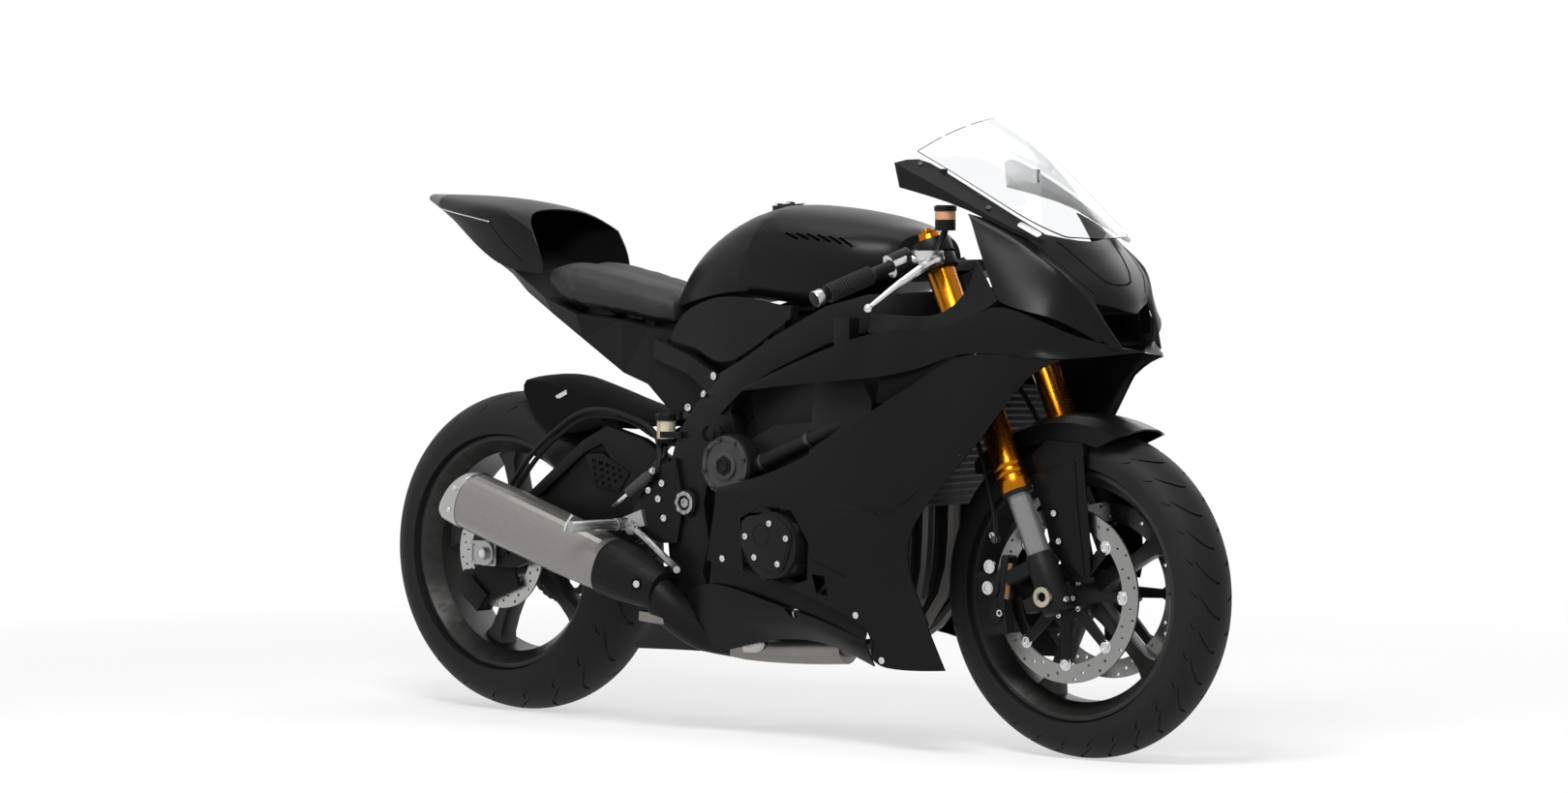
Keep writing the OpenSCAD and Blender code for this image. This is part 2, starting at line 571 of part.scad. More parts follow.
cover_grid = grid_of([
    [[470, -112, 741], [520, -124, 733], [564, -137, 726], [657, -160, 700], [812, -170, 792]],
    [[471, -113, 746], [515, -124, 762], [590, -144, 776], [690, -163, 764], [813, -169, 794]],
    [[472, -112, 752], [510, -121, 796], [619, -148, 828], [723, -160, 824], [814, -168, 810]]], 8, 2);
module side_covers() color("#181818") both() sheet(cover_grid, panel_t);
seat_table = [
    // x, top z, half width, bottom z, bottom half width
    [140, 884, 108, 842, 104], [165, 886, 117, 822, 112], [210, 878, 120, 806, 116],
        [280, 865, 118, 796, 112], [350, 850, 108, 784, 100],
    [396, 840, 94, 774, 88], [432, 828, 76, 768, 70], [443, 814, 66, 768, 62]];
function seat_half(s) = [[0, s[3]], [s[4] * 0.7, s[3]], [s[4], s[3] + 4], [s[2], lerp(s[3], s[1], 0.55)],
    [s[2] * 0.9, s[1] - 8],
    [s[2] * 0.5, s[1]], [0, s[1] - 2]];
module seat() color("#111111") seat_pad();
module seat_pad() loft([for (i = [0:12]) let (s = rail_at(seat_table, i / 12))
    ring_at(s[0], seat_half(s), 9)]);

// Tail
tail_rails = [
    [[-246, -14, 1000], [-150, -60, 968], [-70, -88, 925], [10, -104, 884], [90, -117, 868],
        [150, -124, 866]],
    [[-252, -20, 1006], [-157, -66, 982], [-75, -96, 972], [-5, -112, 962], [70, -123, 930],
        [152, -128, 884]],
    [[-256, -18, 1013], [-157, -57, 1003], [-75, -87, 997], [-5, -105, 990], [62, -118, 976],
        [124, -125, 946]],
    [[-258, -10, 1017], [-157, -36, 1013], [-80, -54, 1009], [-10, -68, 1002], [40, -76, 992],
        [78, -78, 982]]];
tail_grid = grid_of(spread(tail_rails,
    [[-259, 0, 1019], [-157, 0, 1018], [-80, 0, 1015], [-15, 0, 1009], [32, 0, 1000], [66, 0, 990]]), 10, 2);
module tail_cowl() color("#1a1a1a") sheet(tail_grid, panel_t);
under_table = [
    // x, bottom z, bottom half width, top z, top half width
    [-130, 940, 30, 962, 62], [-60, 898, 50, 926, 89], [13, 862, 62, 888, 104], [60, 828, 70, 872, 111],
        [138, 786, 82, 818, 106],
    [222, 739, 88, 788, 108], [331, 676, 92, 778, 102], [400, 656, 100, 764, 96],
        [470, 600, 106, 752, 92], [486, 590, 106, 730, 92]];
module undertray() color("#1b1b1b") difference() {
    union() {
        tray_shell();
        // Seat posts and the rails that run forward to the frame
        for (x = [190, 380], y = [-60, 60]) translate([x - 10, y - 10, 760]) cube([20, 20, 70]);
        both() across(-104, -90) polygon([[466, 606], [466, 740], [632, 716], [600, 650], [540, 604]]);
        both() loft([[[420, -104, 742], [420, -104, 706], [420, -80, 706], [420, -80, 742]],
            [[531, -134, 716], [531, -134, 680], [531, -106, 680], [531, -106, 716]],
            [[622.2, -149, 676.6], [591.2, -149, 648.6], [591.2, -126, 648.6], [622.2, -126, 676.6]]]);
    }
    translate([0, 0, -seat_gap]) seat_pad();
    panel_room(tail_grid, panel_t);
}
module tray_shell() difference() {
    loft([for (s = under_table) [[s[0], -s[4], s[3]], [s[0], -s[2], s[1]], [s[0], s[2], s[1]],
        [s[0], s[4], s[3]]]]);
    loft([for (s = under_table) if (s[0] > 100) let (w = 9)
        [[s[0] + 8, -s[2] + w, s[3] - 14], [s[0] + 8, -s[2] + w, s[1] - 60],
            [s[0] + 8, s[2] - w, s[1] - 60], [s[0] + 8, s[2] - w, s[3] - 14]]]);
}

// Rear end
arm_side = [[-46, 296], [-46, 338], [20, 372], [109, 438], [249, 544], [312, 574], [400, 552], [470, 516],
    [470, 392], [380, 352], [249, 345], [60, 288]];
module swingarm() color("#232323") difference() {
    union() {
        across(-120, -98) polygon(arm_side);
        across(-120, -98) polygon([[460, 392], [460, 510], [546, 474], [584, 437], [546, 398]]);
        across(120, arm_half) polygon(arm_side);
        across(-110, 130) polygon([[340, 345], [340, 415], [430, 425], [480, 425], [480, 392], [380, 348]]);
        across(-98, 92) polygon([[400, 400], [400, 470], [546, 474], [584, 437], [546, 398]]);
    }
    rod(rear_axle, -300, 300, rear_axle_r);
    rod(pivot, -300, 300, pivot_r + seat_gap);
    for (s = [-1, 1]) translate([52, s * (s < 0 ? 120 : arm_half), 318])
        rotate([90, 0, 0]) cylinder(r = spool_r, h = 24, center = true);
    across(-130, -108) polygon([[130, 430], [255, 522], [300, 540], [330, 500], [250, 440]]);
    across(116, 140) polygon([[130, 430], [255, 522], [300, 540], [330, 500], [250, 440]]);
}
module rear_axle_shaft() color("silver") difference() {
    union() {
        rod(rear_axle, -arm_half - 8, arm_half + 18, rear_axle_r);
        rod(rear_axle, -134, -120, 24);
        rod(rear_axle, arm_half, arm_half + 14, 22);
        rod(rear_axle, -98, -90, 20);
    }
    rod(rear_axle, -400, 400, rear_axle_bore_r);
}
front_sprocket = [640, 0, 440];
front_sprocket_r = 41;
chain_gap = norm(front_sprocket - rear_axle);
chain_tilt = atan2(front_sprocket[2] - rear_axle[2], front_sprocket[0] - rear_axle[0]);
chain_slope = asin((sprocket_r - front_sprocket_r) / chain_gap);
chain_run = chain_gap * cos(chain_slope);
rear_wrap = sprocket_r * (180 + 2 * chain_slope) * PI / 180;
front_wrap = front_sprocket_r * (180 - 2 * chain_slope) * PI / 180;
chain_total = 2 * chain_run + rear_wrap + front_wrap;
function around(r, a) = r * [cos(a), sin(a)];
// Place along the chain: rear wrap, upper run, front wrap, lower run
function chain_at(s) =
    s < rear_wrap ? around(sprocket_r, 270 + chain_slope - s / sprocket_r * 180 / PI)
    : s < rear_wrap + chain_run ? around(sprocket_r, 90 - chain_slope) + around(s - rear_wrap, -chain_slope)
    : s < rear_wrap + chain_run + front_wrap ? [chain_gap, 0]
        + around(front_sprocket_r,
            90 - chain_slope - (s - rear_wrap - chain_run) / front_sprocket_r * 180 / PI)
    : [chain_gap, 0] + around(front_sprocket_r, 270 + chain_slope)
        + around(s - rear_wrap - chain_run - front_wrap, 180 + chain_slope);
module chain() color("#3c3c3c") {
    n = 72;
    ring = [for (i = [0:n - 1]) chain_at(chain_total * i / n)];
    edge = [for (i = [0:n - 1]) let (t = unit(ring[(i + 1) % n] - ring[(i + n - 1) % n])) 8 * [-t[1], t[0]]];
    translate([0, 0, rear_axle[2]]) rotate([0, -chain_tilt, 0]) across(102, 116) difference() {
        polygon(ring + edge);
        polygon(ring - edge);
    }
}
module rear_caliper() color("#1a1a1a") difference() {
    union() {
        translate(rear_axle) rotate([0, 128, 0])
            translate([76, -108, -38]) cube([44, 42, 76]);
        across(-97.9, -91) polygon([[-40, 320], [30, 330], [60, 250], [-30, 214], [-80, 230]]);
    }
    rod(rear_axle, -83 - disc_t / 2 - 2, -83 + disc_t / 2 + 2, rear_disc_r + 6);
    rod(rear_axle, -90, -40, rear_disc_r - 34);
    rod(rear_axle, -120, -40, 20.2);
    across(-121, -97.8) polygon(arm_side);
}
module rear_shock() color("#5a5a20") {
    translate([512, 0, 473.6]) cylinder(r = 18, h = 196);
    for (k = [0:6]) translate([512, 0, 530 + 18 * k]) cylinder(r = 34, h = 9);
}
hug = [
    [[64, -86, 636], [112, -96, 572], [180, -98, 556], [250, -98, 564], [320, -96, 588], [404, -78, 576]],
    [[56, -70, 655], [118, -74, 652], [184, -76, 636], [254, -76, 618], [326, -72, 602], [408, -62, 582]]];
module rear_hugger() color("#131313") {
    sheet(grid_of(spread(hug,
        [[60, 0, 664], [118, 0, 668], [184, 0, 652], [254, 0, 630], [326, 0, 608], [412, 0, 586]]), 10, 2),
            guard_t);
    across(-110, -94) polygon([[290, 564], [312, 574.4], [334, 568.9], [334, 597], [290, 592]]);
    across(94, 134) polygon([[290, 564], [312, 574.4], [334, 568.9], [334, 597], [290, 592]]);
}
module rearset() {
    difference() {
        across(-plate_out - 8, -plate_out - 0.2) polygon([[413, 375], [413, 421], [470, 500], [520, 520],
            [540, 440], [524, 360], [480, 358], [440, 372]]);
        rod(pivot, -200, -100, 25.5);
    }
    rod12([404, 0, 392], -plate_out - 50, -plate_out - 0.2, 12);
    translate([404, -plate_out - 48, 392]) rotate([0, 0, -14]) rod12([0, 0, 0], -peg_len - 10, 0, peg_r);
    across(-plate_out - 16, -plate_out - 8) polygon([[395, 380], [395, 404], [440, 420], [450, 390]]);
}
module rearset_right() color("#8a8a8a") {
    rearset();
    pipe([[424, -172, 384], [461, -176, 366], [518, -190, 336], [560, -206, 320],
        [583, -226, 316]], 8, 7, 8, 10, [0, 0, 1]);
    rod12([424, 0, 384], -plate_out - 30, -plate_out - 6, 12);
}
module rearset_left() color("#8a8a8a") mirror([0, 1, 0]) {
    rearset();
    pipe([[424, -172, 384], [461, -176, 366], [518, -190, 352], [560, -206, 348],
        [583, -226, 348]], 8, 7, 8, 10, [0, 0, 1]);
    rod12([424, 0, 384], -plate_out - 30, -plate_out - 6, 12);
}
module rear_reservoir() color("#b07030") {
    translate([482, -140, 556]) cylinder(r = 18, h = 34);
    translate([482, -140, 590]) cylinder(r = 20, h = 10);
    translate([482, -plate_out - 8, 558]) cube([52, 7.8, 12]);
}

// Fairing
nose_rails = [
    // lower edge, middle of the side, upper fold, fang, edge of the top face
    [[1310, -189, 831], [1340, -185, 819], [1385, -174, 808], [1418, -158, 798], [1446, -124, 777],
        [1460, -84, 755]],
    [[1268, -178, 905], [1318, -174, 876], [1372, -161, 850], [1416, -141, 826], [1447, -112, 793],
        [1462, -81, 757]],
    [[1233, -166, 975], [1304, -156, 934], [1360, -146, 911], [1410, -133, 879], [1440, -106, 822],
        [1464, -78, 759]],
    [[1234, -161, 983], [1316, -149, 944], [1374, -136, 906], [1424, -115, 864], [1458, -88, 808],
        [1495, -57, 742]],
    [[1330, -116, 954], [1366, -109, 926], [1396, -102, 898], [1421, -95, 872], [1438, -87, 848],
        [1447, -81, 825]]];
nose_middle = [[1386, 0, 932], [1409, 0, 909], [1430, 0, 885], [1449, 0, 860], [1466, 0, 834],
    [1481, 0, 806]];
nose_grid = grid_of(spread(nose_rails, nose_middle), 12, 2);
// The cowl's right flank, below the fang
nose_side = part_of(nose_grid, 0, 12, 0, 5);
module nose_cowl() color("#2a2a2a") sheet(nose_grid, panel_t);
screen_rails = [
    [[1090, -140, 1099], [1160, -141, 1066], [1230, -140, 1031], [1300, -135, 994], [1352, -122, 966],
        [1392, -92, 944]],
    [[1126, -80, 1135], [1190, -85, 1105], [1255, -82, 1067], [1315, -76, 1025], [1362, -68, 984],
        [1404, -52, 942]]];
screen_middle = [[1164, 0, 1160], [1222, 0, 1129], [1280, 0, 1088], [1330, 0, 1042], [1373, 0, 992],
    [1410, 0, 940]];
screen_grid = grid_of(spread(screen_rails, screen_middle), 12, 3);
module screen() color([0.8, 0.9, 0.95, 0.4]) sheet(screen_grid, screen_t);
bar_table = [
    // four corners: top inner, outer edge, under, inner
    [[1090, -136, 1090], [1056, -165, 1077], [1064, -160, 1032], [1090, -142, 1050]],
    [[1150, -138, 1062], [1139, -168, 1042], [1130, -163, 1018], [1150, -144, 1036]],
    [[1230, -137, 1022], [1226, -167, 1004], [1225, -165, 994], [1230, -145, 1002]],
    [[1312, -131, 978], [1319, -152, 956], [1317, -150, 949], [1312, -137, 962]],
    [[1362, -118, 950], [1372, -132, 938], [1370, -130, 931], [1362, -121, 936]]];
module screen_bars() color("#202020") both() {
    loft(bar_table);
    // Pads under the screen and on the cowl
    translate([1145, -144, 1040]) cube([10, 10, 25.8]);
    translate([1295, -150, 959.5]) cube([10, 4, 7]);
}
module intake_duct() color("#0c0c0c") difference() {
    loft([for (s = [[1446, 66, 748, 808], [1400, 61, 764, 822], [1340, 56, 780, 836]])
        [[s[0], -s[1], s[2]], [s[0], s[1], s[2]], [s[0], s[1] - 8, s[3]], [s[0], -s[1] + 8, s[3]]]]);
    loft([for (s = [[1450, 61, 753, 803], [1400, 57, 768, 818], [1350, 52, 784, 832]])
        [[s[0], -s[1], s[2]], [s[0], s[1], s[2]], [s[0], s[1] - 8, s[3]], [s[0], -s[1] + 8, s[3]]]]);
}
module dash() color("#181818") {
    translate([1262, 0, 902]) rotate([0, 32, 0]) cube([18, 120, 56], center = true);
    difference() {
        across(-20, 20) polygon([[1130, 792], [1130, 826], [1250, 905], [1276, 892], [1340 - seat_gap, 836],
            [1340 - seat_gap, 800], [1250, 812]]);
        at_fork() translate([-fork_offset, 0, 300]) cylinder(r = head_r + seat_gap, h = 500);
    }
}
upper_rails = [
    // lower edge, middle, upper edge
    [[722, -205, 654], [883, -206, 673], [1045, -208, 687], [1150, -205, 707], [1232, -199, 733.4],
        [1330, -187, 734.6],
        [1427, -158, 727], [1496, -4, 737]],
    [[722, -205, 656], [880, -208, 697], [1046, -212, 732], [1180, -210, 748], [1282, -201, 772],
        [1376, -181, 765],
        [1452, -116, 744], [1497, -4, 739]],
    [[722, -203, 659], [874, -204, 718], [1046, -206, 771], [1196, -204, 777], [1304, -190, 821],
        [1388, -175, 798],
        [1445, -119, 764], [1490, -4, 740]]];
upper_grid = grid_of(upper_rails, 16, 2);
module upper_panels() color("#1d1d1d") both() difference() {
    sheet(upper_grid, panel_t);
    translate([0, 0, -seat_gap]) {
        sheet(nose_side, 12);
        sheet(nose_side, -12);
    }
}
fairing_rails = [
    [[648, -215, 337], [740, -218, 319], [830, -217, 300], [926, -213, 272], [1034, -206, 224],
        [1038, -203, 166], [1110, -196, 156], [1194, -190, 160]],
    [[655, -218, 360], [755, -222, 345], [845, -221, 325], [925, -217, 300], [1000, -210, 275],
        [1055, -206, 260], [1105, -202, 250], [1157, -198, 243]],
    [[664, -222, 390], [775, -226, 376], [870, -226, 358], [950, -222, 342], [1015, -216, 332],
        [1060, -211, 326], [1095, -206, 322], [1126, -202, 320]],
    [[676, -227, 430], [790, -231, 424], [895, -231, 418], [985, -227, 414], [1045, -221, 412],
        [1080, -215, 412], [1105, -210, 414], [1125, -206, 417]],
    [[681, -229, 456], [800, -234, 454], [915, -235, 452], [1025, -231, 450], [1090, -223, 452],
        [1140, -214, 478], [1195, -206, 510], [1254, -200, 553]],
    [[683, -230, 468], [800, -235, 467], [920, -237, 467], [1040, -234, 467], [1118, -224, 474],
        [1185, -213, 540], [1265, -204, 612], [1358, -166, 690]],
    [[683, -224, 475], [800, -227, 502], [920, -228, 550], [1048, -224, 626], [1140, -212, 678],
        [1232, -199, 731], [1337, -186, 732], [1428, -158, 724]]];
fairing_grid = grid_of(fairing_rails, 16, 2);
module fairing_side() difference() {
    sheet(fairing_grid, panel_t);
    across(-300, -150) polygon([[740, 322], [742, 420], [800, 446], [868, 440], [905, 380], [895, 312],
        [815, 286]]);
}
module fairing_right() color("#1a1a1a") fairing_side();
module fairing_left() color("#1a1a1a") mirror([0, 1, 0]) fairing_side();
belly_rails = [
    [[383, -120, 150], [519, -150, 157], [643, -160, 162], [760, -165, 190], [892, -170, 194],
        [1022, -180, 157]],
    [[384, -124, 158], [528, -166, 210], [648, -193, 232], [790, -198, 230], [910, -196, 216],
        [1022, -193, 178]],
    [[386, -122, 166], [536, -170, 258], [651, -205, 294], [807, -208, 262], [921, -205, 236],
        [1016, -199, 204]]];
module belly_side() sheet(grid_of(belly_rails, 12, 2), panel_t);
module belly_pans() color("#1c1c1c") {
    difference() {
        belly_side();
        pipe(silencer_path, 36, 35, 14, 16);
    }
    mirror([0, 1, 0]) belly_side();
}
// Brackets from the engine's sides to the panels: x, z, inner end y, outer end y
stay_table = [[930, 440, -165.2, -228.5], [722, 420, -150.2, -223.7], [915, 700, -165.2, -204.8],
    [740, 245, -150.2, -195.9], [880, 232, -150.2, -195]];
stay_w = 12;
module fairing_stays() color("#3a3a3a") both() for (t = stay_table) bar_y(t[0], t[1], stay_w, t[3], t[2]);
cockpit_rails = [
    [[1024, -201, 768], [1102, -205, 770], [1202, -204, 774], [1256, -198, 792], [1308, -187, 830]],
    [[1022, -191, 795], [1090, -196, 790], [1192, -198, 797], [1248, -191, 822], [1282, -184, 868]],
    [[1020, -186, 804], [1080, -190, 801], [1183, -193, 803], [1240, -186, 848], [1258, -180, 902]]];
module cockpit_panels() color("#262626") both() difference() {
    sheet(grid_of(cockpit_rails, 10, 2), panel_t);
    translate([0, 0, seat_gap]) panel_room(part_of(upper_grid, 3, 12, 0, 4), panel_t);
    translate([-seat_gap, 0, 0]) {
        sheet(part_of(nose_side, 0, 4, 0, 4), 12);
        sheet(part_of(nose_side, 0, 4, 0, 4), -12);
    }
}

placed() front_tyre();
placed() front_rim();
placed() front_discs();
placed() front_disc_carriers();
placed() rear_tyre();
placed() rear_rim();
placed() rear_disc();
placed() rear_sprocket();
placed() front_axle_shaft();
placed() fork_bottoms();
placed() fork_inner_tubes();
placed() fork_outer_tubes();
placed() lower_clamp();
placed() upper_clamp();
placed() handlebars();
placed() grips();
placed() brake_control();
placed() clutch_control();
placed() front_calipers();
placed() front_mudguard();
placed() brake_hoses();
placed() steering_head();
placed() frame_right();
placed() frame_left();
placed() engine();
placed() engine_covers();
placed() radiator();
placed() exhaust_headers();
placed() silencer_pipe();
placed() silencer_can();
placed() silencer_end_cap();
placed() silencer_cover();
placed() fuel_tank();
placed() airbox_cover();
placed() fuel_cap();
placed() side_covers();
placed() seat();
placed() tail_cowl();
placed() undertray();
placed() swingarm();
placed() rear_axle_shaft();
placed() chain();
placed() rear_caliper();
placed() rear_shock();
placed() rear_hugger();
placed() rearset_right();
placed() rearset_left();
placed() rear_reservoir();
placed() nose_cowl();
placed() screen();
placed() screen_bars();
placed() intake_duct();
placed() dash();
placed() upper_panels();
placed() fairing_right();
placed() fairing_left();
placed() belly_pans();
placed() cockpit_panels();
placed() fairing_stays();
placed() pivot_shaft();
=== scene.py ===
"""Looks of a black track sport bike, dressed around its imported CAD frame."""
import json
import math

import bpy
from mathutils import Matrix, Vector


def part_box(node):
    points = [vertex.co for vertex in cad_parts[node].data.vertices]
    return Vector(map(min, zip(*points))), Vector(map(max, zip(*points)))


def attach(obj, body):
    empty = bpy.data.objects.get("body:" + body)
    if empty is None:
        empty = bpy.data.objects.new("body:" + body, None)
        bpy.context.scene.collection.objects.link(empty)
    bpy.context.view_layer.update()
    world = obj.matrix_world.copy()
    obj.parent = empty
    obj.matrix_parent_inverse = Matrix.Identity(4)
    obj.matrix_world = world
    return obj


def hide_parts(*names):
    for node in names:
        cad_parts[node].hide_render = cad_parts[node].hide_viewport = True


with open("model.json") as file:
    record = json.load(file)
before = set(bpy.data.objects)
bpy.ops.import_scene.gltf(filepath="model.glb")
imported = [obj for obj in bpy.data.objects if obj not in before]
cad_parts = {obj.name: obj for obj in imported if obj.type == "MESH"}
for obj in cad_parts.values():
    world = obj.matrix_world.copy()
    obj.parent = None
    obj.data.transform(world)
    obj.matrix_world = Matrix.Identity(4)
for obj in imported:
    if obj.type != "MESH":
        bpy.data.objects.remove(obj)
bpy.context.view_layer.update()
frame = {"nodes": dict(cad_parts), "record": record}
nodes = frame["nodes"]
body_of = {node: body for body, names in frame["record"]["behaviour"]["bodies"].items() for node in names}
slot_of = {part["node"]: part["material_slot"] for part in frame["record"]["subparts"]}

MM = 0.001
# The rider's seat point, where the frame's origin lies, measured from the ground below the rear axle
SEAT_POINT = Vector((0.300, 0.0, 0.862))
GROUND = -SEAT_POINT.z
RAKE = math.radians(24)
FRONT_AXLE = Vector((1.375, 0.0, 0.300)) - SEAT_POINT
REAR_AXLE = Vector((0.0, 0.0, 0.315)) - SEAT_POINT
FORK_UP = Vector((-math.sin(RAKE), 0.0, math.cos(RAKE)))
FORK_FRONT = Vector((math.cos(RAKE), 0.0, math.sin(RAKE)))
RIGHT = Vector((0.0, -1.0, 0.0))
# Radii of the rims and half the distance of the fork legs, in millimetres
RIM_SEAT = 216.0
RIM_LIP = 229.0
FORK_Y = 105.0
# Height above the rim lip where the tyres' curve begins, in millimetres
TYRE_FOOT = 14.0
# Depth of the tyres' grooves, in millimetres
GROOVE_DEPTH = 3.2
# Levels where the front reservoir changes its finish, and above which the black dash gets its painted
# highlight, in millimetres above the ground
DASH_HIGHLIGHT_LEVEL = 885
BAND_LOW = 974
BAND_HIGH = 993
# Distance within which points of a mesh are one point, in metres
WELD = 0.00001
# Frames in which the seat's cover is blown up, and how far it may move, in metres
BLOW_FRAMES = 20
BLOW_REACH = 0.006
# Pitch of the chain's links and its distance from the middle, in millimetres
CHAIN_PITCH = 15.875
CHAIN_Y = 109.0


def at(x, y, z):
    """A place on the bike in millimetres: forward of the rear axle, left of the middle, above the ground."""
    return Vector((x, y, z)) * MM - SEAT_POINT


# Shader groups


def new_group(name, inputs, outputs):
    """An empty shader group with named float, vector or colour sockets."""
    group = bpy.data.node_groups.new(name, "ShaderNodeTree")
    for label, kind, value in inputs:
        socket = group.interface.new_socket(label, in_out="INPUT", socket_type=kind)
        if value is not None:
            socket.default_value = value
    for label, kind in outputs:
        group.interface.new_socket(label, in_out="OUTPUT", socket_type=kind)
    return group, group.nodes.new("NodeGroupInput"), group.nodes.new("NodeGroupOutput")


def noise(tree, scale=None, detail=3.0, dims="3D"):
    node = tree.nodes.new("ShaderNodeTexNoise")
    node.noise_dimensions = dims
    node.inputs["Detail"].default_value = detail
    if scale is not None:
        node.inputs["Scale"].default_value = scale
    return node


def math_node(tree, operation, first=None, second=None):
    node = tree.nodes.new("ShaderNodeMath")
    node.operation = operation
    for index, value in enumerate((first, second)):
        if isinstance(value, (int, float)):
            node.inputs[index].default_value = value
        elif value is not None:
            tree.links.new(value, node.inputs[index])
    return node


def mix_colour(tree, factor, first, second):
    node = tree.nodes.new("ShaderNodeMix")
    node.data_type = "RGBA"
    for socket, value in ((node.inputs[0], factor), (node.inputs[6], first), (node.inputs[7], second)):
        if isinstance(value, bpy.types.NodeSocket):
            tree.links.new(value, socket)
        else:
            socket.default_value = value
    return node.outputs[2]


def make_mottle():
    """Slow changes of tone and of gloss that handling and dust leave on a surface."""
    group, inp, out = new_group(
        "surface mottle",
        [("Vector", "NodeSocketVector", None), ("Colour", "NodeSocketColor", (0.5, 0.5, 0.5, 1)),
         ("Tone", "NodeSocketFloat", 0.25), ("Scale", "NodeSocketFloat", 9.0),
         ("Roughness", "NodeSocketFloat", 0.4), ("Gloss Change", "NodeSocketFloat", 0.08)],
        [("Colour", "NodeSocketColor"), ("Roughness", "NodeSocketFloat")])
    cloud = noise(group, detail=5.0)
    group.links.new(inp.outputs["Vector"], cloud.inputs["Vector"])
    group.links.new(inp.outputs["Scale"], cloud.inputs["Scale"])
    swing = math_node(group, "SUBTRACT", cloud.outputs["Fac"], 0.5)
    tone = math_node(group, "MULTIPLY", swing.outputs[0], inp.outputs["Tone"])
    level = math_node(group, "ADD", tone.outputs[0], 1.0)
    shade = group.nodes.new("ShaderNodeVectorMath")
    shade.operation = "SCALE"
    group.links.new(inp.outputs["Colour"], shade.inputs[0])
    group.links.new(level.outputs[0], shade.inputs["Scale"])
    group.links.new(shade.outputs[0], out.inputs["Colour"])
    change = math_node(group, "MULTIPLY", swing.outputs[0], inp.outputs["Gloss Change"])
    rough = math_node(group, "ADD", change.outputs[0], inp.outputs["Roughness"])
    group.links.new(rough.outputs[0], out.inputs["Roughness"])
    return group


def make_grain():
    """Fine bumps of moulded plastic, castings and rubber."""
    group, inp, out = new_group(
        "fine grain",
        [("Vector", "NodeSocketVector", None), ("Scale", "NodeSocketFloat", 900.0),
         ("Depth", "NodeSocketFloat", 0.3)],
        [("Height", "NodeSocketFloat")])
    fine = noise(group, detail=2.0)
    group.links.new(inp.outputs["Vector"], fine.inputs["Vector"])
    group.links.new(inp.outputs["Scale"], fine.inputs["Scale"])
    height = math_node(group, "MULTIPLY", fine.outputs["Fac"], inp.outputs["Depth"])
    group.links.new(height.outputs[0], out.inputs["Height"])
    return group


def make_brush():
    """Long fine scratches along one way of the metal."""
    group, inp, out = new_group(
        "brushed lines",
        [("Vector", "NodeSocketVector", None), ("Stretch", "NodeSocketVector", (8.0, 900.0, 900.0)),
         ("Roughness", "NodeSocketFloat", 0.3), ("Depth", "NodeSocketFloat", 0.15)],
        [("Roughness", "NodeSocketFloat"), ("Height", "NodeSocketFloat"), ("Lines", "NodeSocketFloat")])
    pull = group.nodes.new("ShaderNodeVectorMath")
    pull.operation = "MULTIPLY"
    group.links.new(inp.outputs["Vector"], pull.inputs[0])
    group.links.new(inp.outputs["Stretch"], pull.inputs[1])
    lines = noise(group, scale=1.0, detail=3.0)
    group.links.new(pull.outputs[0], lines.inputs["Vector"])
    swing = math_node(group, "SUBTRACT", lines.outputs["Fac"], 0.5)
    change = math_node(group, "MULTIPLY", swing.outputs[0], 0.25)
    rough = math_node(group, "ADD", change.outputs[0], inp.outputs["Roughness"])
    height = math_node(group, "MULTIPLY", lines.outputs["Fac"], inp.outputs["Depth"])
    group.links.new(rough.outputs[0], out.inputs["Roughness"])
    group.links.new(height.outputs[0], out.inputs["Height"])
    group.links.new(lines.outputs["Fac"], out.inputs["Lines"])
    return group


MOTTLE = make_mottle()
GRAIN = make_grain()
BRUSH = make_brush()


def place_group(tree, group, vector, **values):
    node = tree.nodes.new("ShaderNodeGroup")
    node.node_tree = group
    tree.links.new(vector, node.inputs["Vector"])
    for label, value in values.items():
        node.inputs[label.replace("_", " ")].default_value = value
    return node


def new_material(name):
    mat = bpy.data.materials.new(name)
    mat.use_nodes = True
    tree = mat.node_tree
    shader = tree.nodes["Principled BSDF"]
    coords = tree.nodes.new("ShaderNodeTexCoord").outputs["Object"]
    return mat, tree, shader, coords


def link_bump(tree, shader, height, strength):
    bump = tree.nodes.new("ShaderNodeBump")
    bump.inputs["Strength"].default_value = strength
    bump.inputs["Distance"].default_value = MM
    tree.links.new(height, bump.inputs["Height"])
    tree.links.new(bump.outputs["Normal"], shader.inputs["Normal"])


def finish_of(name, colour, rough, metal=0.0, specular=0.5, tone=0.2, scale=9.0, gloss_change=0.08,
              grain=900.0, depth=0.3, bump=0.12):
    """A moulded, cast, painted or rubber finish with mottled tone and a fine grain."""
    mat, tree, shader, coords = new_material(name)
    mottle = place_group(tree, MOTTLE, coords, Colour=(*colour, 1), Tone=tone, Scale=scale, Roughness=rough,
                         Gloss_Change=gloss_change)
    tree.links.new(mottle.outputs["Colour"], shader.inputs["Base Color"])
    tree.links.new(mottle.outputs["Roughness"], shader.inputs["Roughness"])
    shader.inputs["Metallic"].default_value = metal
    shader.inputs["Specular IOR Level"].default_value = specular
    fine = place_group(tree, GRAIN, coords, Scale=grain, Depth=depth)
    link_bump(tree, shader, fine.outputs["Height"], bump)
    return mat


def brushed_metal(name, colour, dark, rough, stretch, bump=0.1, metal=1.0):
    """A drawn or ground metal with fine lines in one way."""
    mat, tree, shader, coords = new_material(name)
    lines = place_group(tree, BRUSH, coords, Stretch=stretch, Roughness=rough, Depth=0.15)
    tint = mix_colour(tree, lines.outputs["Lines"], (*dark, 1), (*colour, 1))
    tree.links.new(tint, shader.inputs["Base Color"])
    tree.links.new(lines.outputs["Roughness"], shader.inputs["Roughness"])
    shader.inputs["Metallic"].default_value = metal
    link_bump(tree, shader, lines.outputs["Height"], bump)
    return mat


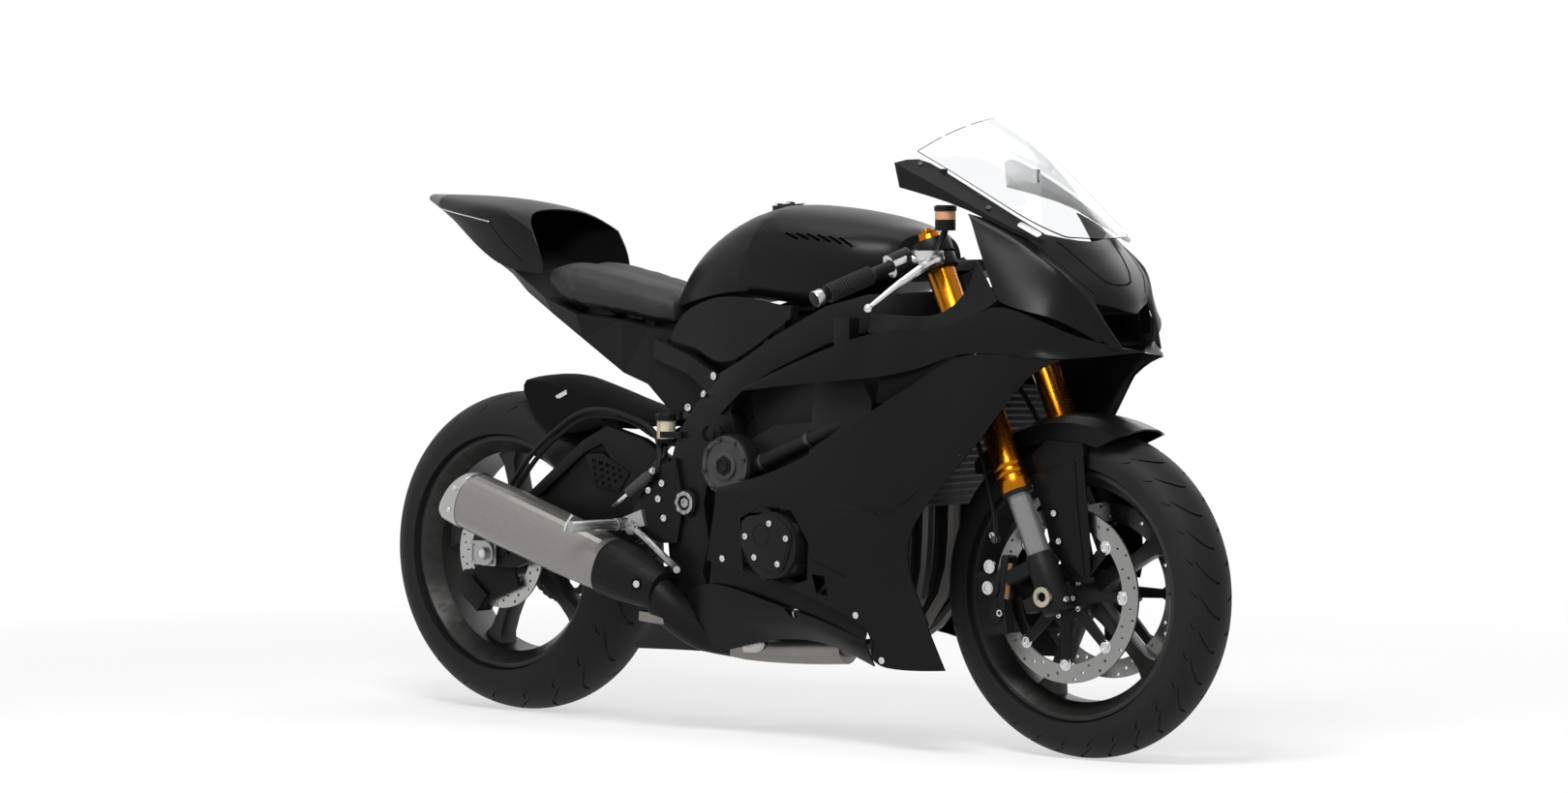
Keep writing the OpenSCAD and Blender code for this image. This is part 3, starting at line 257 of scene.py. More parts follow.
def turned_metal(name, colour, rough, centre):
    """A disc ground in rings round its axle."""
    mat, tree, shader, coords = new_material(name)
    shift = tree.nodes.new("ShaderNodeMapping")
    shift.inputs["Location"].default_value = (-centre.x, 0.0, -centre.z)
    shift.inputs["Scale"].default_value = (1.0, 0.0, 1.0)
    tree.links.new(coords, shift.inputs["Vector"])
    reach = tree.nodes.new("ShaderNodeVectorMath")
    reach.operation = "LENGTH"
    tree.links.new(shift.outputs["Vector"], reach.inputs[0])
    ring = noise(tree, scale=2600.0, detail=2.0, dims="1D")
    tree.links.new(reach.outputs["Value"], ring.inputs["W"])
    tint = mix_colour(tree, ring.outputs["Fac"], (*[c * 0.72 for c in colour], 1), (*colour, 1))
    tree.links.new(tint, shader.inputs["Base Color"])
    change = math_node(tree, "MULTIPLY", ring.outputs["Fac"], 0.16)
    level = math_node(tree, "ADD", change.outputs[0], rough - 0.08)
    tree.links.new(level.outputs[0], shader.inputs["Roughness"])
    shader.inputs["Metallic"].default_value = 1.0
    link_bump(tree, shader, ring.outputs["Fac"], 0.06)
    return mat


def vinyl_cover():
    """Matte vinyl with a cell grain."""
    mat, tree, shader, coords = new_material("seat vinyl")
    mottle = place_group(tree, MOTTLE, coords, Colour=(0.010, 0.010, 0.0105, 1), Tone=0.35, Scale=14.0,
                         Roughness=0.62, Gloss_Change=0.12)
    tree.links.new(mottle.outputs["Colour"], shader.inputs["Base Color"])
    tree.links.new(mottle.outputs["Roughness"], shader.inputs["Roughness"])
    cells = tree.nodes.new("ShaderNodeTexVoronoi")
    cells.inputs["Scale"].default_value = 420.0
    tree.links.new(coords, cells.inputs["Vector"])
    link_bump(tree, shader, cells.outputs["Distance"], 0.25)
    shader.inputs["Specular IOR Level"].default_value = 0.35
    return mat


def clear_sheet():
    """Clear acrylic of the screen, with a faint change of tint."""
    mat, tree, shader, coords = new_material("clear screen")
    mottle = place_group(tree, MOTTLE, coords, Colour=(0.93, 0.95, 0.96, 1), Tone=0.03, Scale=6.0)
    tree.links.new(mottle.outputs["Colour"], shader.inputs["Base Color"])
    shader.inputs["Roughness"].default_value = 0.0
    shader.inputs["Transmission Weight"].default_value = 1.0
    shader.inputs["IOR"].default_value = 1.25
    return mat


PAINT = finish_of("satin black paint", (0.0045, 0.0045, 0.005), 0.32, specular=0.10, tone=0.25, scale=5.0,
                  gloss_change=0.05, grain=260.0, depth=0.25, bump=0.02)
PLASTIC = finish_of("black moulded plastic", (0.006, 0.006, 0.0063), 0.48, specular=0.10, grain=1400.0,
                    bump=0.14)
INNER = finish_of("dull inner black", (0.004, 0.004, 0.004), 0.75, specular=0.05, grain=900.0, bump=0.1)
CASTING = finish_of("black casting", (0.008, 0.008, 0.0085), 0.48, metal=0.2, specular=0.14, tone=0.4,
                    grain=700.0, bump=0.3)
CAST_GREY = finish_of("grey casting", (0.05, 0.05, 0.051), 0.5, metal=0.5, specular=0.3, tone=0.4,
                      grain=700.0, bump=0.25)
FRAME_BLACK = finish_of("satin frame black", (0.006, 0.006, 0.0065), 0.4, metal=0.1, specular=0.12,
                        grain=500.0, bump=0.1)
RIM_BLACK = finish_of("wheel black", (0.024, 0.023, 0.022), 0.38, metal=0.5, specular=0.3, tone=0.3,
                      grain=800.0, bump=0.06)
TYRE_RUBBER = finish_of("tyre rubber", (0.009, 0.009, 0.009), 0.6, specular=0.16, tone=0.5, scale=16.0,
                        grain=1200.0, bump=0.25)
HOSE_RUBBER = finish_of("hose rubber", (0.006, 0.006, 0.006), 0.55, specular=0.15, grain=1500.0, bump=0.2)
GRIP_RUBBER = finish_of("grip rubber", (0.012, 0.012, 0.012), 0.7, specular=0.2, tone=0.4, grain=2200.0,
                        bump=0.3)
TAIL_GREY = finish_of("grey tail paint", (0.10, 0.10, 0.102), 0.42, specular=0.3, grain=400.0, bump=0.04)
AMBER = finish_of("peach reservoir", (0.42, 0.22, 0.12), 0.35, specular=0.4, tone=0.3, scale=30.0,
                  bump=0.05)
CREAM = finish_of("cream reservoir", (0.50, 0.43, 0.32), 0.4, specular=0.4, tone=0.25, scale=40.0,
                  bump=0.05)
DARK_STEEL = finish_of("dark steel", (0.07, 0.067, 0.063), 0.45, metal=0.9, tone=0.5, scale=22.0,
                       grain=900.0, bump=0.1)
GOLD = brushed_metal("gold anodised tube", (0.44, 0.148, 0.008), (0.31, 0.10, 0.005), 0.26,
                     (900.0, 900.0, 14.0))
SILVER = brushed_metal("polished silver", (0.66, 0.66, 0.66), (0.50, 0.50, 0.50), 0.22, (60.0, 60.0, 900.0),
                       bump=0.05)
TUBE_STEEL = brushed_metal("fork tube steel", (0.20, 0.20, 0.20), (0.15, 0.15, 0.15), 0.16,
                           (40.0, 40.0, 900.0), bump=0.04, metal=0.35)
ALLOY = brushed_metal("satin alloy", (0.40, 0.40, 0.40), (0.28, 0.28, 0.28), 0.34, (20.0, 700.0, 700.0))
TITANIUM = brushed_metal("brushed titanium", (0.24, 0.225, 0.208), (0.222, 0.209, 0.193), 0.25,
                         (1200.0, 1200.0, 1200.0), bump=0.02, metal=0.7)
END_CAP = brushed_metal("end cap alloy", (0.46, 0.455, 0.445), (0.36, 0.355, 0.35), 0.3,
                        (300.0, 300.0, 300.0))
HEADER = finish_of("heat tinted pipe", (0.20, 0.185, 0.168), 0.36, metal=0.95, tone=0.6, scale=12.0,
                   bump=0.08)
HEADER_DARK = finish_of("dark header pipe", (0.10, 0.095, 0.09), 0.42, metal=0.9, tone=0.5, scale=12.0,
                        bump=0.08)
FIN_GREY = finish_of("radiator fins", (0.085, 0.085, 0.087), 0.5, metal=0.6, tone=0.3, scale=30.0, bump=0.2)
# Pale grey on the black dash: a painted highlight, the light seen on it through the screen
DASH_PAINTED_HIGHLIGHT = finish_of("painted dash highlight", (0.80, 0.80, 0.81), 0.5, specular=0.3, tone=0.1, scale=20.0,
                      bump=0.08)
# Pale grey on the inner faces of the black screen bars: a painted highlight, the haze of light seen on them
# through the screen
BAR_PAINTED_HIGHLIGHT = finish_of("painted bar highlight", (0.64, 0.64, 0.645), 0.5, specular=0.2, tone=0.1, scale=20.0,
                        bump=0.05)
BRONZE = finish_of("bronze axle", (0.42, 0.37, 0.28), 0.3, metal=1.0, tone=0.2, scale=30.0, bump=0.05)
PAD_BROWN = finish_of("brake pad", (0.15, 0.075, 0.03), 0.6, tone=0.5, scale=60.0, bump=0.2)
FRONT_DISC = turned_metal("front disc steel", (0.30, 0.298, 0.292), 0.28, FRONT_AXLE)
REAR_DISC = turned_metal("rear disc steel", (0.46, 0.457, 0.45), 0.3, REAR_AXLE)
VINYL = vinyl_cover()
SCREEN = clear_sheet()

# Making of pieces

# Finished pieces by the CAD node that they stand for
pieces = {}


def deselect():
    if bpy.context.object and bpy.context.object.mode != "OBJECT":
        bpy.ops.object.mode_set(mode="OBJECT")
    bpy.ops.object.select_all(action="DESELECT")


def pick(obj):
    deselect()
    obj.select_set(True)
    bpy.context.view_layer.objects.active = obj


def settle(obj):
    """Takes a piece's place and size into its mesh."""
    pick(obj)
    bpy.ops.object.transform_apply(location=True, rotation=True, scale=True)
    return obj


def open_mesh(obj):
    """Opens a mesh for editing with all of it selected."""
    pick(obj)
    bpy.ops.object.mode_set(mode="EDIT")
    bpy.ops.mesh.select_all(action="SELECT")


def weld(obj):
    """Joins the points of a mesh that lie together and turns its faces outward."""
    open_mesh(obj)
    bpy.ops.mesh.remove_doubles(threshold=WELD)
    bpy.ops.mesh.normals_make_consistent(inside=False)
    bpy.ops.object.mode_set(mode="OBJECT")


def apply_modifier(obj, kind, **settings):
    pick(obj)
    mod = obj.modifiers.new(kind.lower(), kind)
    for label, value in settings.items():
        setattr(mod, label, value)
    bpy.ops.object.modifier_apply(modifier=mod.name)


def bevel_edges(obj, width, degrees, segments=2):
    apply_modifier(obj, "BEVEL", width=width * MM, segments=segments, limit_method="ANGLE",
                   angle_limit=math.radians(degrees), use_clamp_overlap=True)


def smooth(obj, degrees):
    pick(obj)
    bpy.ops.object.shade_smooth_by_angle(angle=math.radians(degrees))


def step_top(obj, *steps):
    """Insets the top face and lifts or sinks it, once for each pair of an inset and a lift in millimetres."""
    pick(obj)
    bpy.ops.object.mode_set(mode="EDIT")
    bpy.ops.mesh.select_mode(type="FACE")
    bpy.ops.mesh.select_all(action="DESELECT")
    bpy.ops.object.mode_set(mode="OBJECT")
    for face in obj.data.polygons:
        face.select = face.normal.z > 0.9
    bpy.ops.object.mode_set(mode="EDIT")
    for inset, lift in steps:
        if inset:
            bpy.ops.mesh.inset(thickness=inset * MM)
        if lift:
            bpy.ops.mesh.extrude_region_move(TRANSFORM_OT_translate={"value": (0, 0, lift * MM)})
    bpy.ops.object.mode_set(mode="OBJECT")


def round_blank(radius, height, sides, steps=(), edge=0.0, degrees=50.0, segments=2):
    """A round bar that stands on the origin, with a stepped top and broken edges, in millimetres."""
    deselect()
    bpy.ops.mesh.primitive_cylinder_add(vertices=sides, radius=radius * MM, depth=height * MM,
                                        location=(0, 0, height * MM / 2))
    obj = settle(bpy.context.object)
    if steps:
        step_top(obj, *steps)
    if edge:
        bevel_edges(obj, edge, degrees, segments)
    return obj


def block_blank(size, centre=(0, 0, 0)):
    """A block round a point, its size in millimetres."""
    deselect()
    bpy.ops.mesh.primitive_cube_add(size=1.0, location=[c * MM for c in centre])
    obj = bpy.context.object
    obj.scale = [s * MM for s in size]
    return settle(obj)


def plate_blank(outline, thickness, corner=0.0):
    """A flat plate on the origin with rounded corners, from an outline in millimetres."""
    deselect()
    bpy.ops.mesh.primitive_circle_add(vertices=len(outline), radius=1.0, fill_type="NGON")
    obj = bpy.context.object
    for vert, (x, y) in zip(obj.data.vertices, outline):
        vert.co = (x * MM, y * MM, 0)
    open_mesh(obj)
    if corner:
        bpy.ops.mesh.bevel(offset=corner * MM, segments=5, affect="VERTICES")
    bpy.ops.mesh.extrude_region_move(TRANSFORM_OT_translate={"value": (0, 0, thickness * MM)})
    bpy.ops.mesh.select_all(action="SELECT")
    bpy.ops.mesh.normals_make_consistent(inside=False)
    bpy.ops.object.mode_set(mode="OBJECT")
    return obj


def cut_with(obj, cutter):
    """Takes the cutter's volume out of a piece."""
    apply_modifier(obj, "BOOLEAN", object=cutter, operation="DIFFERENCE", solver="EXACT")
    bpy.data.objects.remove(cutter)


def dress(obj, name, body, slot, *materials):
    """Gives a made piece its name, its body and its finish, with its place kept in the mesh. Its slot is not
    used.
    """
    settle(obj)
    obj.name = name
    obj.data.name = name
    if materials:
        obj.data.materials.clear()
        for mat in materials:
            obj.data.materials.append(mat)
    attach(obj, body)
    return obj


def join(objs):
    deselect()
    for obj in objs:
        obj.select_set(True)
    bpy.context.view_layer.objects.active = objs[0]
    if len(objs) > 1:
        bpy.ops.object.join()
    return objs[0]


def facing(place, way):
    """The move that stands a piece made on the origin at a place, with its top facing a way."""
    return Matrix.Translation(place) @ Vector(way).to_track_quat("Z", "Y").to_matrix().to_4x4()


def tilted(place, degrees):
    """The move to a place with a tilt forward or back, in degrees."""
    return Matrix.Translation(place) @ Matrix.Rotation(math.radians(degrees), 4, "Y")


def copies(master, moves):
    """One joined piece from copies of a master, each with its own mesh."""
    made = []
    for move in moves:
        obj = bpy.data.objects.new(master.name, master.data.copy())
        obj.data.transform(move)
        bpy.context.scene.collection.objects.link(obj)
        made.append(obj)
    return join(made)


def set_out(master, name, body, slot, mat, moves):
    """Copies of a master as one dressed piece. The master goes."""
    obj = copies(master, moves)
    bpy.data.objects.remove(master)
    smooth(obj, 35.0)
    return dress(obj, name, body, slot, mat)


def out_at(points):
    """Moves to points of the right side and to their mirror images, a piece's top facing out."""
    return [facing(at(x, side * y, z), RIGHT * side) for x, y, z in points for side in (1, -1)]


def paint_faces(obj, index, test):
    for face in obj.data.polygons:
        if test(face.center + SEAT_POINT, face.normal):
            face.material_index = index


def score(obj, height):
    """Cuts a mesh's faces along a level, so that each side can have its own finish."""
    open_mesh(obj)
    bpy.ops.mesh.bisect(plane_co=at(0, 0, height), plane_no=(0, 0, 1))
    bpy.ops.object.mode_set(mode="OBJECT")


def tube(points, radius, sides=12, smooth_path=True):
    """A bent tube through points on the bike, as a mesh."""
    curve = bpy.data.curves.new("tube", "CURVE")
    curve.dimensions = "3D"
    curve.bevel_depth = radius * MM
    curve.bevel_resolution = max(1, sides // 4 - 1)
    curve.use_fill_caps = True
    curve.resolution_u = 6
    spline = curve.splines.new("BEZIER" if smooth_path else "POLY")
    if smooth_path:
        spline.bezier_points.add(len(points) - 1)
        for knot, point in zip(spline.bezier_points, points):
            knot.co = at(*point)
            knot.handle_left_type = knot.handle_right_type = "AUTO"
    else:
        spline.points.add(len(points) - 1)
        for knot, point in zip(spline.points, points):
            knot.co = (*at(*point), 1.0)
    obj = bpy.data.objects.new("tube", curve)
    bpy.context.scene.collection.objects.link(obj)
    pick(obj)
    bpy.ops.object.convert(target="MESH")
    obj = bpy.context.object
    weld(obj)
    return obj


def lay(hose, name, slot, mat):
    """A bent tube as a smooth dressed piece on the chassis."""
    smooth(hose, 40.0)
    return dress(hose, name, "chassis", slot, mat)


def spun(outline, axle, steps):
    """A ring turned round an axle from a closed outline of radius and side, in millimetres."""
    deselect()
    bpy.ops.mesh.primitive_circle_add(vertices=len(outline), radius=1.0, fill_type="NOTHING")
    obj = bpy.context.object
    for vert, (radius, side) in zip(obj.data.vertices, outline):
        vert.co = axle + Vector((radius, side, 0)) * MM
    open_mesh(obj)
    bpy.ops.mesh.spin(steps=steps, angle=math.tau, center=axle, axis=(0, 1, 0))
    weld(obj)
    return obj


def copy_node(node, flat=False):
    """A welded copy of a CAD node's surface, with its triangles made quads or whole flat faces again."""
    obj = bpy.data.objects.new(node + "_copy", nodes[node].data.copy())
    bpy.context.scene.collection.objects.link(obj)
    open_mesh(obj)
    bpy.ops.mesh.customdata_custom_splitnormals_clear()
    bpy.ops.mesh.remove_doubles(threshold=2 * WELD)
    if flat:
        bpy.ops.mesh.dissolve_limited(angle_limit=math.radians(1.5))
    else:
        bpy.ops.mesh.tris_convert_to_quads(face_threshold=math.radians(25),
                                           shape_threshold=math.radians(70))
    bpy.ops.object.mode_set(mode="OBJECT")
    return obj


def crease_sharp(obj, degrees):
    """Keeps edges sharper than the angle hard under subdivision."""
    mesh = obj.data
    faces_at = {}
    for face in mesh.polygons:
        for key in face.edge_keys:
            faces_at.setdefault(key, []).append(face.normal)
    crease = mesh.attributes.get("crease_edge") or mesh.attributes.new("crease_edge", "FLOAT", "EDGE")
    limit = math.cos(math.radians(degrees))
    for edge in mesh.edges:
        normals = faces_at.get(tuple(sorted(edge.vertices)), [])
        hard = len(normals) != 2 or normals[0].dot(normals[1]) < limit
        crease.data[edge.index].value = 1.0 if hard else 0.0


def stand_for(obj, node, *materials):
    """Puts a finished piece in the place of a CAD node."""
    dress(obj, node + "_dressed", body_of[node], slot_of[node], *materials)
    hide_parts(node)
    pieces[node] = obj
    return obj


def moulded(node, *materials):
    """A smooth panel in the place of a CAD node."""
    obj = copy_node(node)
    crease_sharp(obj, 42.0)
    apply_modifier(obj, "SUBSURF", levels=1, render_levels=1, boundary_smooth="PRESERVE_CORNERS")
    smooth(obj, 38.0)
    return stand_for(obj, node, *materials)


def machined(node, mat, bevel):
    """A cast or milled piece with broken edges in the place of a CAD node."""
    obj = copy_node(node, flat=True)
    bevel_edges(obj, bevel, 38.0)
    smooth(obj, 36.0)
    return stand_for(obj, node, mat)


def coat_node(node, mat):
    """A new finish on a CAD node that keeps its own shape."""
    nodes[node].data.materials.clear()
    nodes[node].data.materials.append(mat)


def cap_screw(radius, height):
    """A screw head with a broken rim and a round socket."""
    return round_blank(radius, height, 20, ((radius * 0.46, -height * 0.6),), radius * 0.14)


def hex_nut(radius, height, hole):
    """A six-sided nut on a round collar, open in the middle."""
    nut = round_blank(radius, height, 6, (), radius * 0.08, 30.0)
    collar = round_blank(radius * 1.12, height * 0.25, 32, (), radius * 0.05)
    nut = join([nut, collar])
    bore = round_blank(hole, height * 3, 24)
    bore.location.z = -height * MM
    settle(bore)
    cut_with(nut, bore)
    return nut


def side_plate(outline, y, thickness, corner, name, slot, mat, steps=(), sides=(-1,), edge=0.8,
               body="chassis"):
    """A flat plate on the bike's side, its outline in length and height, its face turned outward."""
    made = []
    for side in sides:
        plate = plate_blank([(x * -side, z) for x, z in outline], thickness, corner)
        if steps:
            step_top(plate, *steps)
        bevel_edges(plate, edge, 45.0)
        turn = Matrix.Rotation(math.pi / 2, 4, "X") if side < 0 else (
            Matrix.Rotation(math.pi, 4, "Z") @ Matrix.Rotation(math.pi / 2, 4, "X"))
        plate.data.transform(Matrix.Translation(at(0, side * y, 0)) @ turn)
        made.append(plate)
    obj = join(made)
    smooth(obj, 36.0)
    return dress(obj, name, body, slot, mat)


# Finishes of whole nodes, and nodes with their own shapes smoothed or their edges broken

NODE_FINISH = {
    "front_discs": FRONT_DISC, "rear_disc": REAR_DISC, "rear_sprocket": DARK_STEEL,
    "front_axle_shaft": ALLOY, "rear_axle_shaft": ALLOY, "fork_inner_tubes": TUBE_STEEL,
    "brake_hoses": HOSE_RUBBER, "steering_head": FRAME_BLACK, "radiator": FIN_GREY,
    "exhaust_headers": HEADER_DARK, "silencer_can": TITANIUM, "silencer_cover": PLASTIC,
    "undertray": PLASTIC, "rear_shock": DARK_STEEL, "intake_duct": INNER,
    "fairing_stays": FRAME_BLACK, "pivot_shaft": CASTING,
}
for node_name, node_mat in NODE_FINISH.items():
    coat_node(node_name, node_mat)

PANEL_FINISH = {
    "nose_cowl": PAINT, "upper_panels": PAINT, "fairing_right": PAINT, "fairing_left": PAINT,
    "belly_pans": PAINT, "cockpit_panels": PLASTIC, "front_mudguard": PAINT, "rear_hugger": INNER,
    "fuel_tank": PAINT, "airbox_cover": PAINT, "side_covers": PLASTIC, "screen": SCREEN,
}
for node_name, node_mat in PANEL_FINISH.items():
    moulded(node_name, node_mat)
# Black screen bars, their inner faces pale with a painted highlight
bars = moulded("screen_bars", PLASTIC, BAR_PAINTED_HIGHLIGHT)
paint_faces(bars, 1, lambda c, n: c.y * n.y < 0 and abs(n.y) > 0.5)
# The dash: dull black below its level, and pale above it on faces not turned back, as a painted highlight
shell = copy_node("dash", flat=True)
bevel_edges(shell, 1.5, 40.0)
score(shell, DASH_HIGHLIGHT_LEVEL)
smooth(shell, 36.0)
stand_for(shell, "dash", INNER, DASH_PAINTED_HIGHLIGHT)
paint_faces(shell, 1, lambda c, n: c.z > DASH_HIGHLIGHT_LEVEL * MM and n.x > -0.3)

METAL_FINISH = {
    "front_rim": (RIM_BLACK, 3.0), "rear_rim": (RIM_BLACK, 3.5), "front_disc_carriers": (CASTING, 0.8),
    "fork_bottoms": (CASTING, 2.5), "fork_outer_tubes": (GOLD, 1.0), "lower_clamp": (FRAME_BLACK, 2.5),
    "upper_clamp": (FRAME_BLACK, 2.0), "handlebars": (FRAME_BLACK, 1.5), "front_calipers": (CASTING, 3.5),
    "frame_right": (FRAME_BLACK, 3.5), "frame_left": (FRAME_BLACK, 3.5), "engine": (CASTING, 4.0),
    "engine_covers": (CASTING, 3.0), "fuel_cap": (CASTING, 1.5), "swingarm": (FRAME_BLACK, 3.0),
    "rear_caliper": (CASTING, 2.0),
}
for node_name, (node_mat, edge) in METAL_FINISH.items():
    machined(node_name, node_mat, edge)

# Tyres


def tyre_radius(lean, crown):
    """The tyre's radius at a lean from the crown, in degrees, as its CAD section has it."""
    rise = max(0.0, math.cos(math.radians(lean))) ** 0.84
    return RIM_LIP + TYRE_FOOT + (crown - RIM_LIP - TYRE_FOOT) * rise


def groove_cutter(axle, crown, width, lean_from, lean_to, sweep, breadth):
    """One slim curved blade across the tread, thickest in its middle."""
    deselect()
    bpy.ops.mesh.primitive_grid_add(x_subdivisions=8, y_subdivisions=1, size=2.0)
    blade = bpy.context.object
    for vert in blade.data.vertices:
        along = (vert.co.x + 1) / 2
        lean = lean_from + (lean_to - lean_from) * along
        half = breadth * (0.25 + math.sin(math.pi * min(1.0, along * 0.85 + 0.1))) * 0.5 * vert.co.y
        turn = math.radians(sweep) * along * along + half / crown
        reach = tyre_radius(lean, crown)
        side = width / 2 * math.sin(math.radians(lean))
        vert.co = axle + Vector((reach * math.cos(turn), side, reach * math.sin(turn))) * MM
    apply_modifier(blade, "SOLIDIFY", thickness=2 * GROOVE_DEPTH * MM, offset=0.0)
    return blade


def make_tyre(node, axle, crown, width, bead, rows):
    """A road tyre: a turned section with rim beads and rows of slim grooves."""
    arc = []
    for step in range(41):
        lean = -100.0 + 5.0 * step
        fold = 10.0 if abs(lean) > 90 else 0.0
        rib = 1.4 if 76 <= abs(lean) <= 84 else 0.0
        arc.append((tyre_radius(lean, crown) - fold,
                    width / 2 * math.sin(math.radians(lean)) * (1 + rib / width)))
    right_bead = [(RIM_SEAT + 0.3, -bead), (RIM_LIP + 1.0, -bead)]
    left_bead = [(RIM_LIP + 1.0, bead), (RIM_SEAT + 0.3, bead)]
    tyre = spun(right_bead + arc + left_bead, axle, 144)
    blades = []
    for lean_from, lean_to, sweep, breadth, count, phase in rows:
        for side in (1, -1):
            master = groove_cutter(axle, crown, width, side * lean_from, side * lean_to, sweep, breadth)
            half_pitch = 0.5 if side < 0 else 0.0
            turns = [math.tau * (k + phase + half_pitch) / count for k in range(count)]
            spins = [Matrix.Translation(axle) @ Matrix.Rotation(turn, 4, "Y") @ Matrix.Translation(-axle)
                     for turn in turns]
            blades.append(copies(master, spins))
            bpy.data.objects.remove(master)
    for blade in blades:
        cut_with(tyre, blade)
    smooth(tyre, 30.0)
    return stand_for(tyre, node, TYRE_RUBBER)


make_tyre("front_tyre", FRONT_AXLE, 300.0, 120.0, 44.2,
          [(10.0, 55.0, 9.0, 5.5, 30, 0.0), (58.0, 71.0, 3.0, 3.0, 30, 0.35)])
make_tyre("rear_tyre", REAR_AXLE, 315.0, 180.0, 69.7,
          [(8.0, 48.0, 12.0, 6.0, 22, 0.0), (51.0, 66.0, 4.0, 3.6, 22, 0.4)])

# Front wheel, fork and brakes


def on_disc(axle, reach, turn, side):
    """A place on a disc's face at a reach from its axle, in millimetres."""
    return axle + Vector((reach * math.cos(turn), side, reach * math.sin(turn))) * MM


def make_disc_buttons():
    """Floating buttons that join each front disc to its carrier."""
    ear = round_blank(12.5, 1.0, 28, (), 0.3)
    button = round_blank(8.5, 3.6, 28, ((2.6, -1.2), (1.6, 0.6)), 0.5)
    master = join([ear, button])
    turns = [math.tau * k / 8 for k in range(8)]
    moves = [facing(on_disc(FRONT_AXLE, 125.0, turn, side * 68.2), (0, side, 0)) for turn in turns
             for side in (-1, 1)]
    set_out(master, "disc_buttons", "front_wheel", "bright_metal", SILVER, moves)
    hub_screw = cap_screw(5.5, 5.0)
    moves = [facing(on_disc(FRONT_AXLE, 39.0, math.tau * (k + 0.5) / 5, side * 70.0), (0, side, 0))
             for k in range(5) for side in (-1, 1)]
    set_out(hub_screw, "disc_screws", "front_wheel", "bright_metal", SILVER, moves)


def on_fork(forward, side, up):
    """A place in the fork's own axes, in millimetres from the front axle."""
    return FRONT_AXLE + (FORK_FRONT * forward + Vector((0, side, 0)) + FORK_UP * up) * MM


def make_fork_trim():
    """Seals, collars, top caps and clamp screws of the fork legs."""
    seal = round_blank(28.6, 9.0, 40, ((3.0, 2.0),), 1.0)
    bore = round_blank(21.6, 40.0, 40)
    cut_with(seal, bore)
    set_out(seal, "fork_seals", "steering", "rubber", HOSE_RUBBER,
            [facing(on_fork(0, s * FORK_Y, 195.5), FORK_UP) for s in (-1, 1)])
    collar = round_blank(29.2, 9.0, 48, (), 1.6, 50.0, 3)
    set_out(collar, "fork_collars", "steering", "gold", GOLD,
            [facing(on_fork(0, s * FORK_Y, up), FORK_UP) for s in (-1, 1) for up in (232.0, 246.0)])
    cap = round_blank(19.5, 7.0, 6, ((7.0, 6.0), (2.6, -2.5)), 0.8, 30.0)
    set_out(cap, "fork_caps", "steering", "gold", GOLD,
            [facing(on_fork(0, s * FORK_Y, 704.0), FORK_UP) for s in (-1, 1)])
    screw = cap_screw(5.5, 7.0)
    places = [(on_fork(26.0, s * (FORK_Y + shift), -17.0), FORK_FRONT) for s in (-1, 1)
              for shift in (-11.0, 9.0)]
    places += [(on_fork(-79.0, s * FORK_Y, 64.0), -FORK_FRONT) for s in (-1, 1)]
    places += [(on_fork(reach, s * (FORK_Y + 24.0), up), FORK_FRONT) for s in (-1, 1)
               for reach, up in ((26.0, 462.0), (26.0, 478.0), (25.0, 649.0))]
    set_out(screw, "fork_screws", "steering", "bright_metal", SILVER, [facing(p, w) for p, w in places])


def make_axle_nut():
    """The front axle's collar with its six-sided socket, and a dull black disc of painted shade on the
    socket's floor.
    """
    nut = round_blank(18.5, 9.0, 48, (), 1.6)
    socket = round_blank(11.5, 14.0, 6)
    socket.location.z = 2.5 * MM
    settle(socket)
    cut_with(nut, socket)
    # A dull black disc on the socket's floor: painted shade, so that the recess looks deep
    floor = round_blank(11.0, 1.2, 24, ((3.0, -0.6),))
    set_out(floor, "front_axle_socket_shade", "steering", "dark_metal", INNER,
            [facing(FRONT_AXLE + Vector((0, -0.1355, 0)), RIGHT)])
    set_out(nut, "front_axle_nut", "steering", "bright_metal", BRONZE,
            [facing(FRONT_AXLE + Vector((0, -0.1335, 0)), RIGHT)])


def make_caliper_trim():
    """Piston caps, pads, mounting screws and hose unions of the front calipers."""
    cap = round_blank(12.5, 6.0, 36, ((2.4, -1.0), (3.2, 0.8), (2.0, 0)), 0.6)
    set_out(cap, "piston_caps", "steering", "bright_metal", SILVER,
            out_at([(1239, -112.5, 347), (1235, -112.5, 308)]))
    bridge = block_blank((16, 30, 92))
    bevel_edges(bridge, 3.0, 40.0, 3)
    moves = [tilted(at(1262, s * 96, 322), 8) for s in (-1, 1)]
    set_out(bridge, "caliper_bridges", "steering", "dark_metal", CASTING, moves)
    pad = block_blank((9, 5, 66))
    bevel_edges(pad, 1.0, 40.0)
    moves = [tilted(at(1279, s * 112, 322), 8) for s in (-1, 1)]
    set_out(pad, "brake_pads", "steering", "dark_metal", PAD_BROWN, moves)
    screw = cap_screw(6.5, 8.0)
    set_out(screw, "caliper_screws", "steering", "bright_metal", SILVER,
            out_at([(1240, -104, 403), (1262, -111, 264)]))
    union = round_blank(8.0, 12.0, 6, ((2.0, 3.0),), 0.7, 30.0)
    set_out(union, "hose_unions", "steering", "dark_metal", DARK_STEEL, out_at([(1245, -100, 396)]))


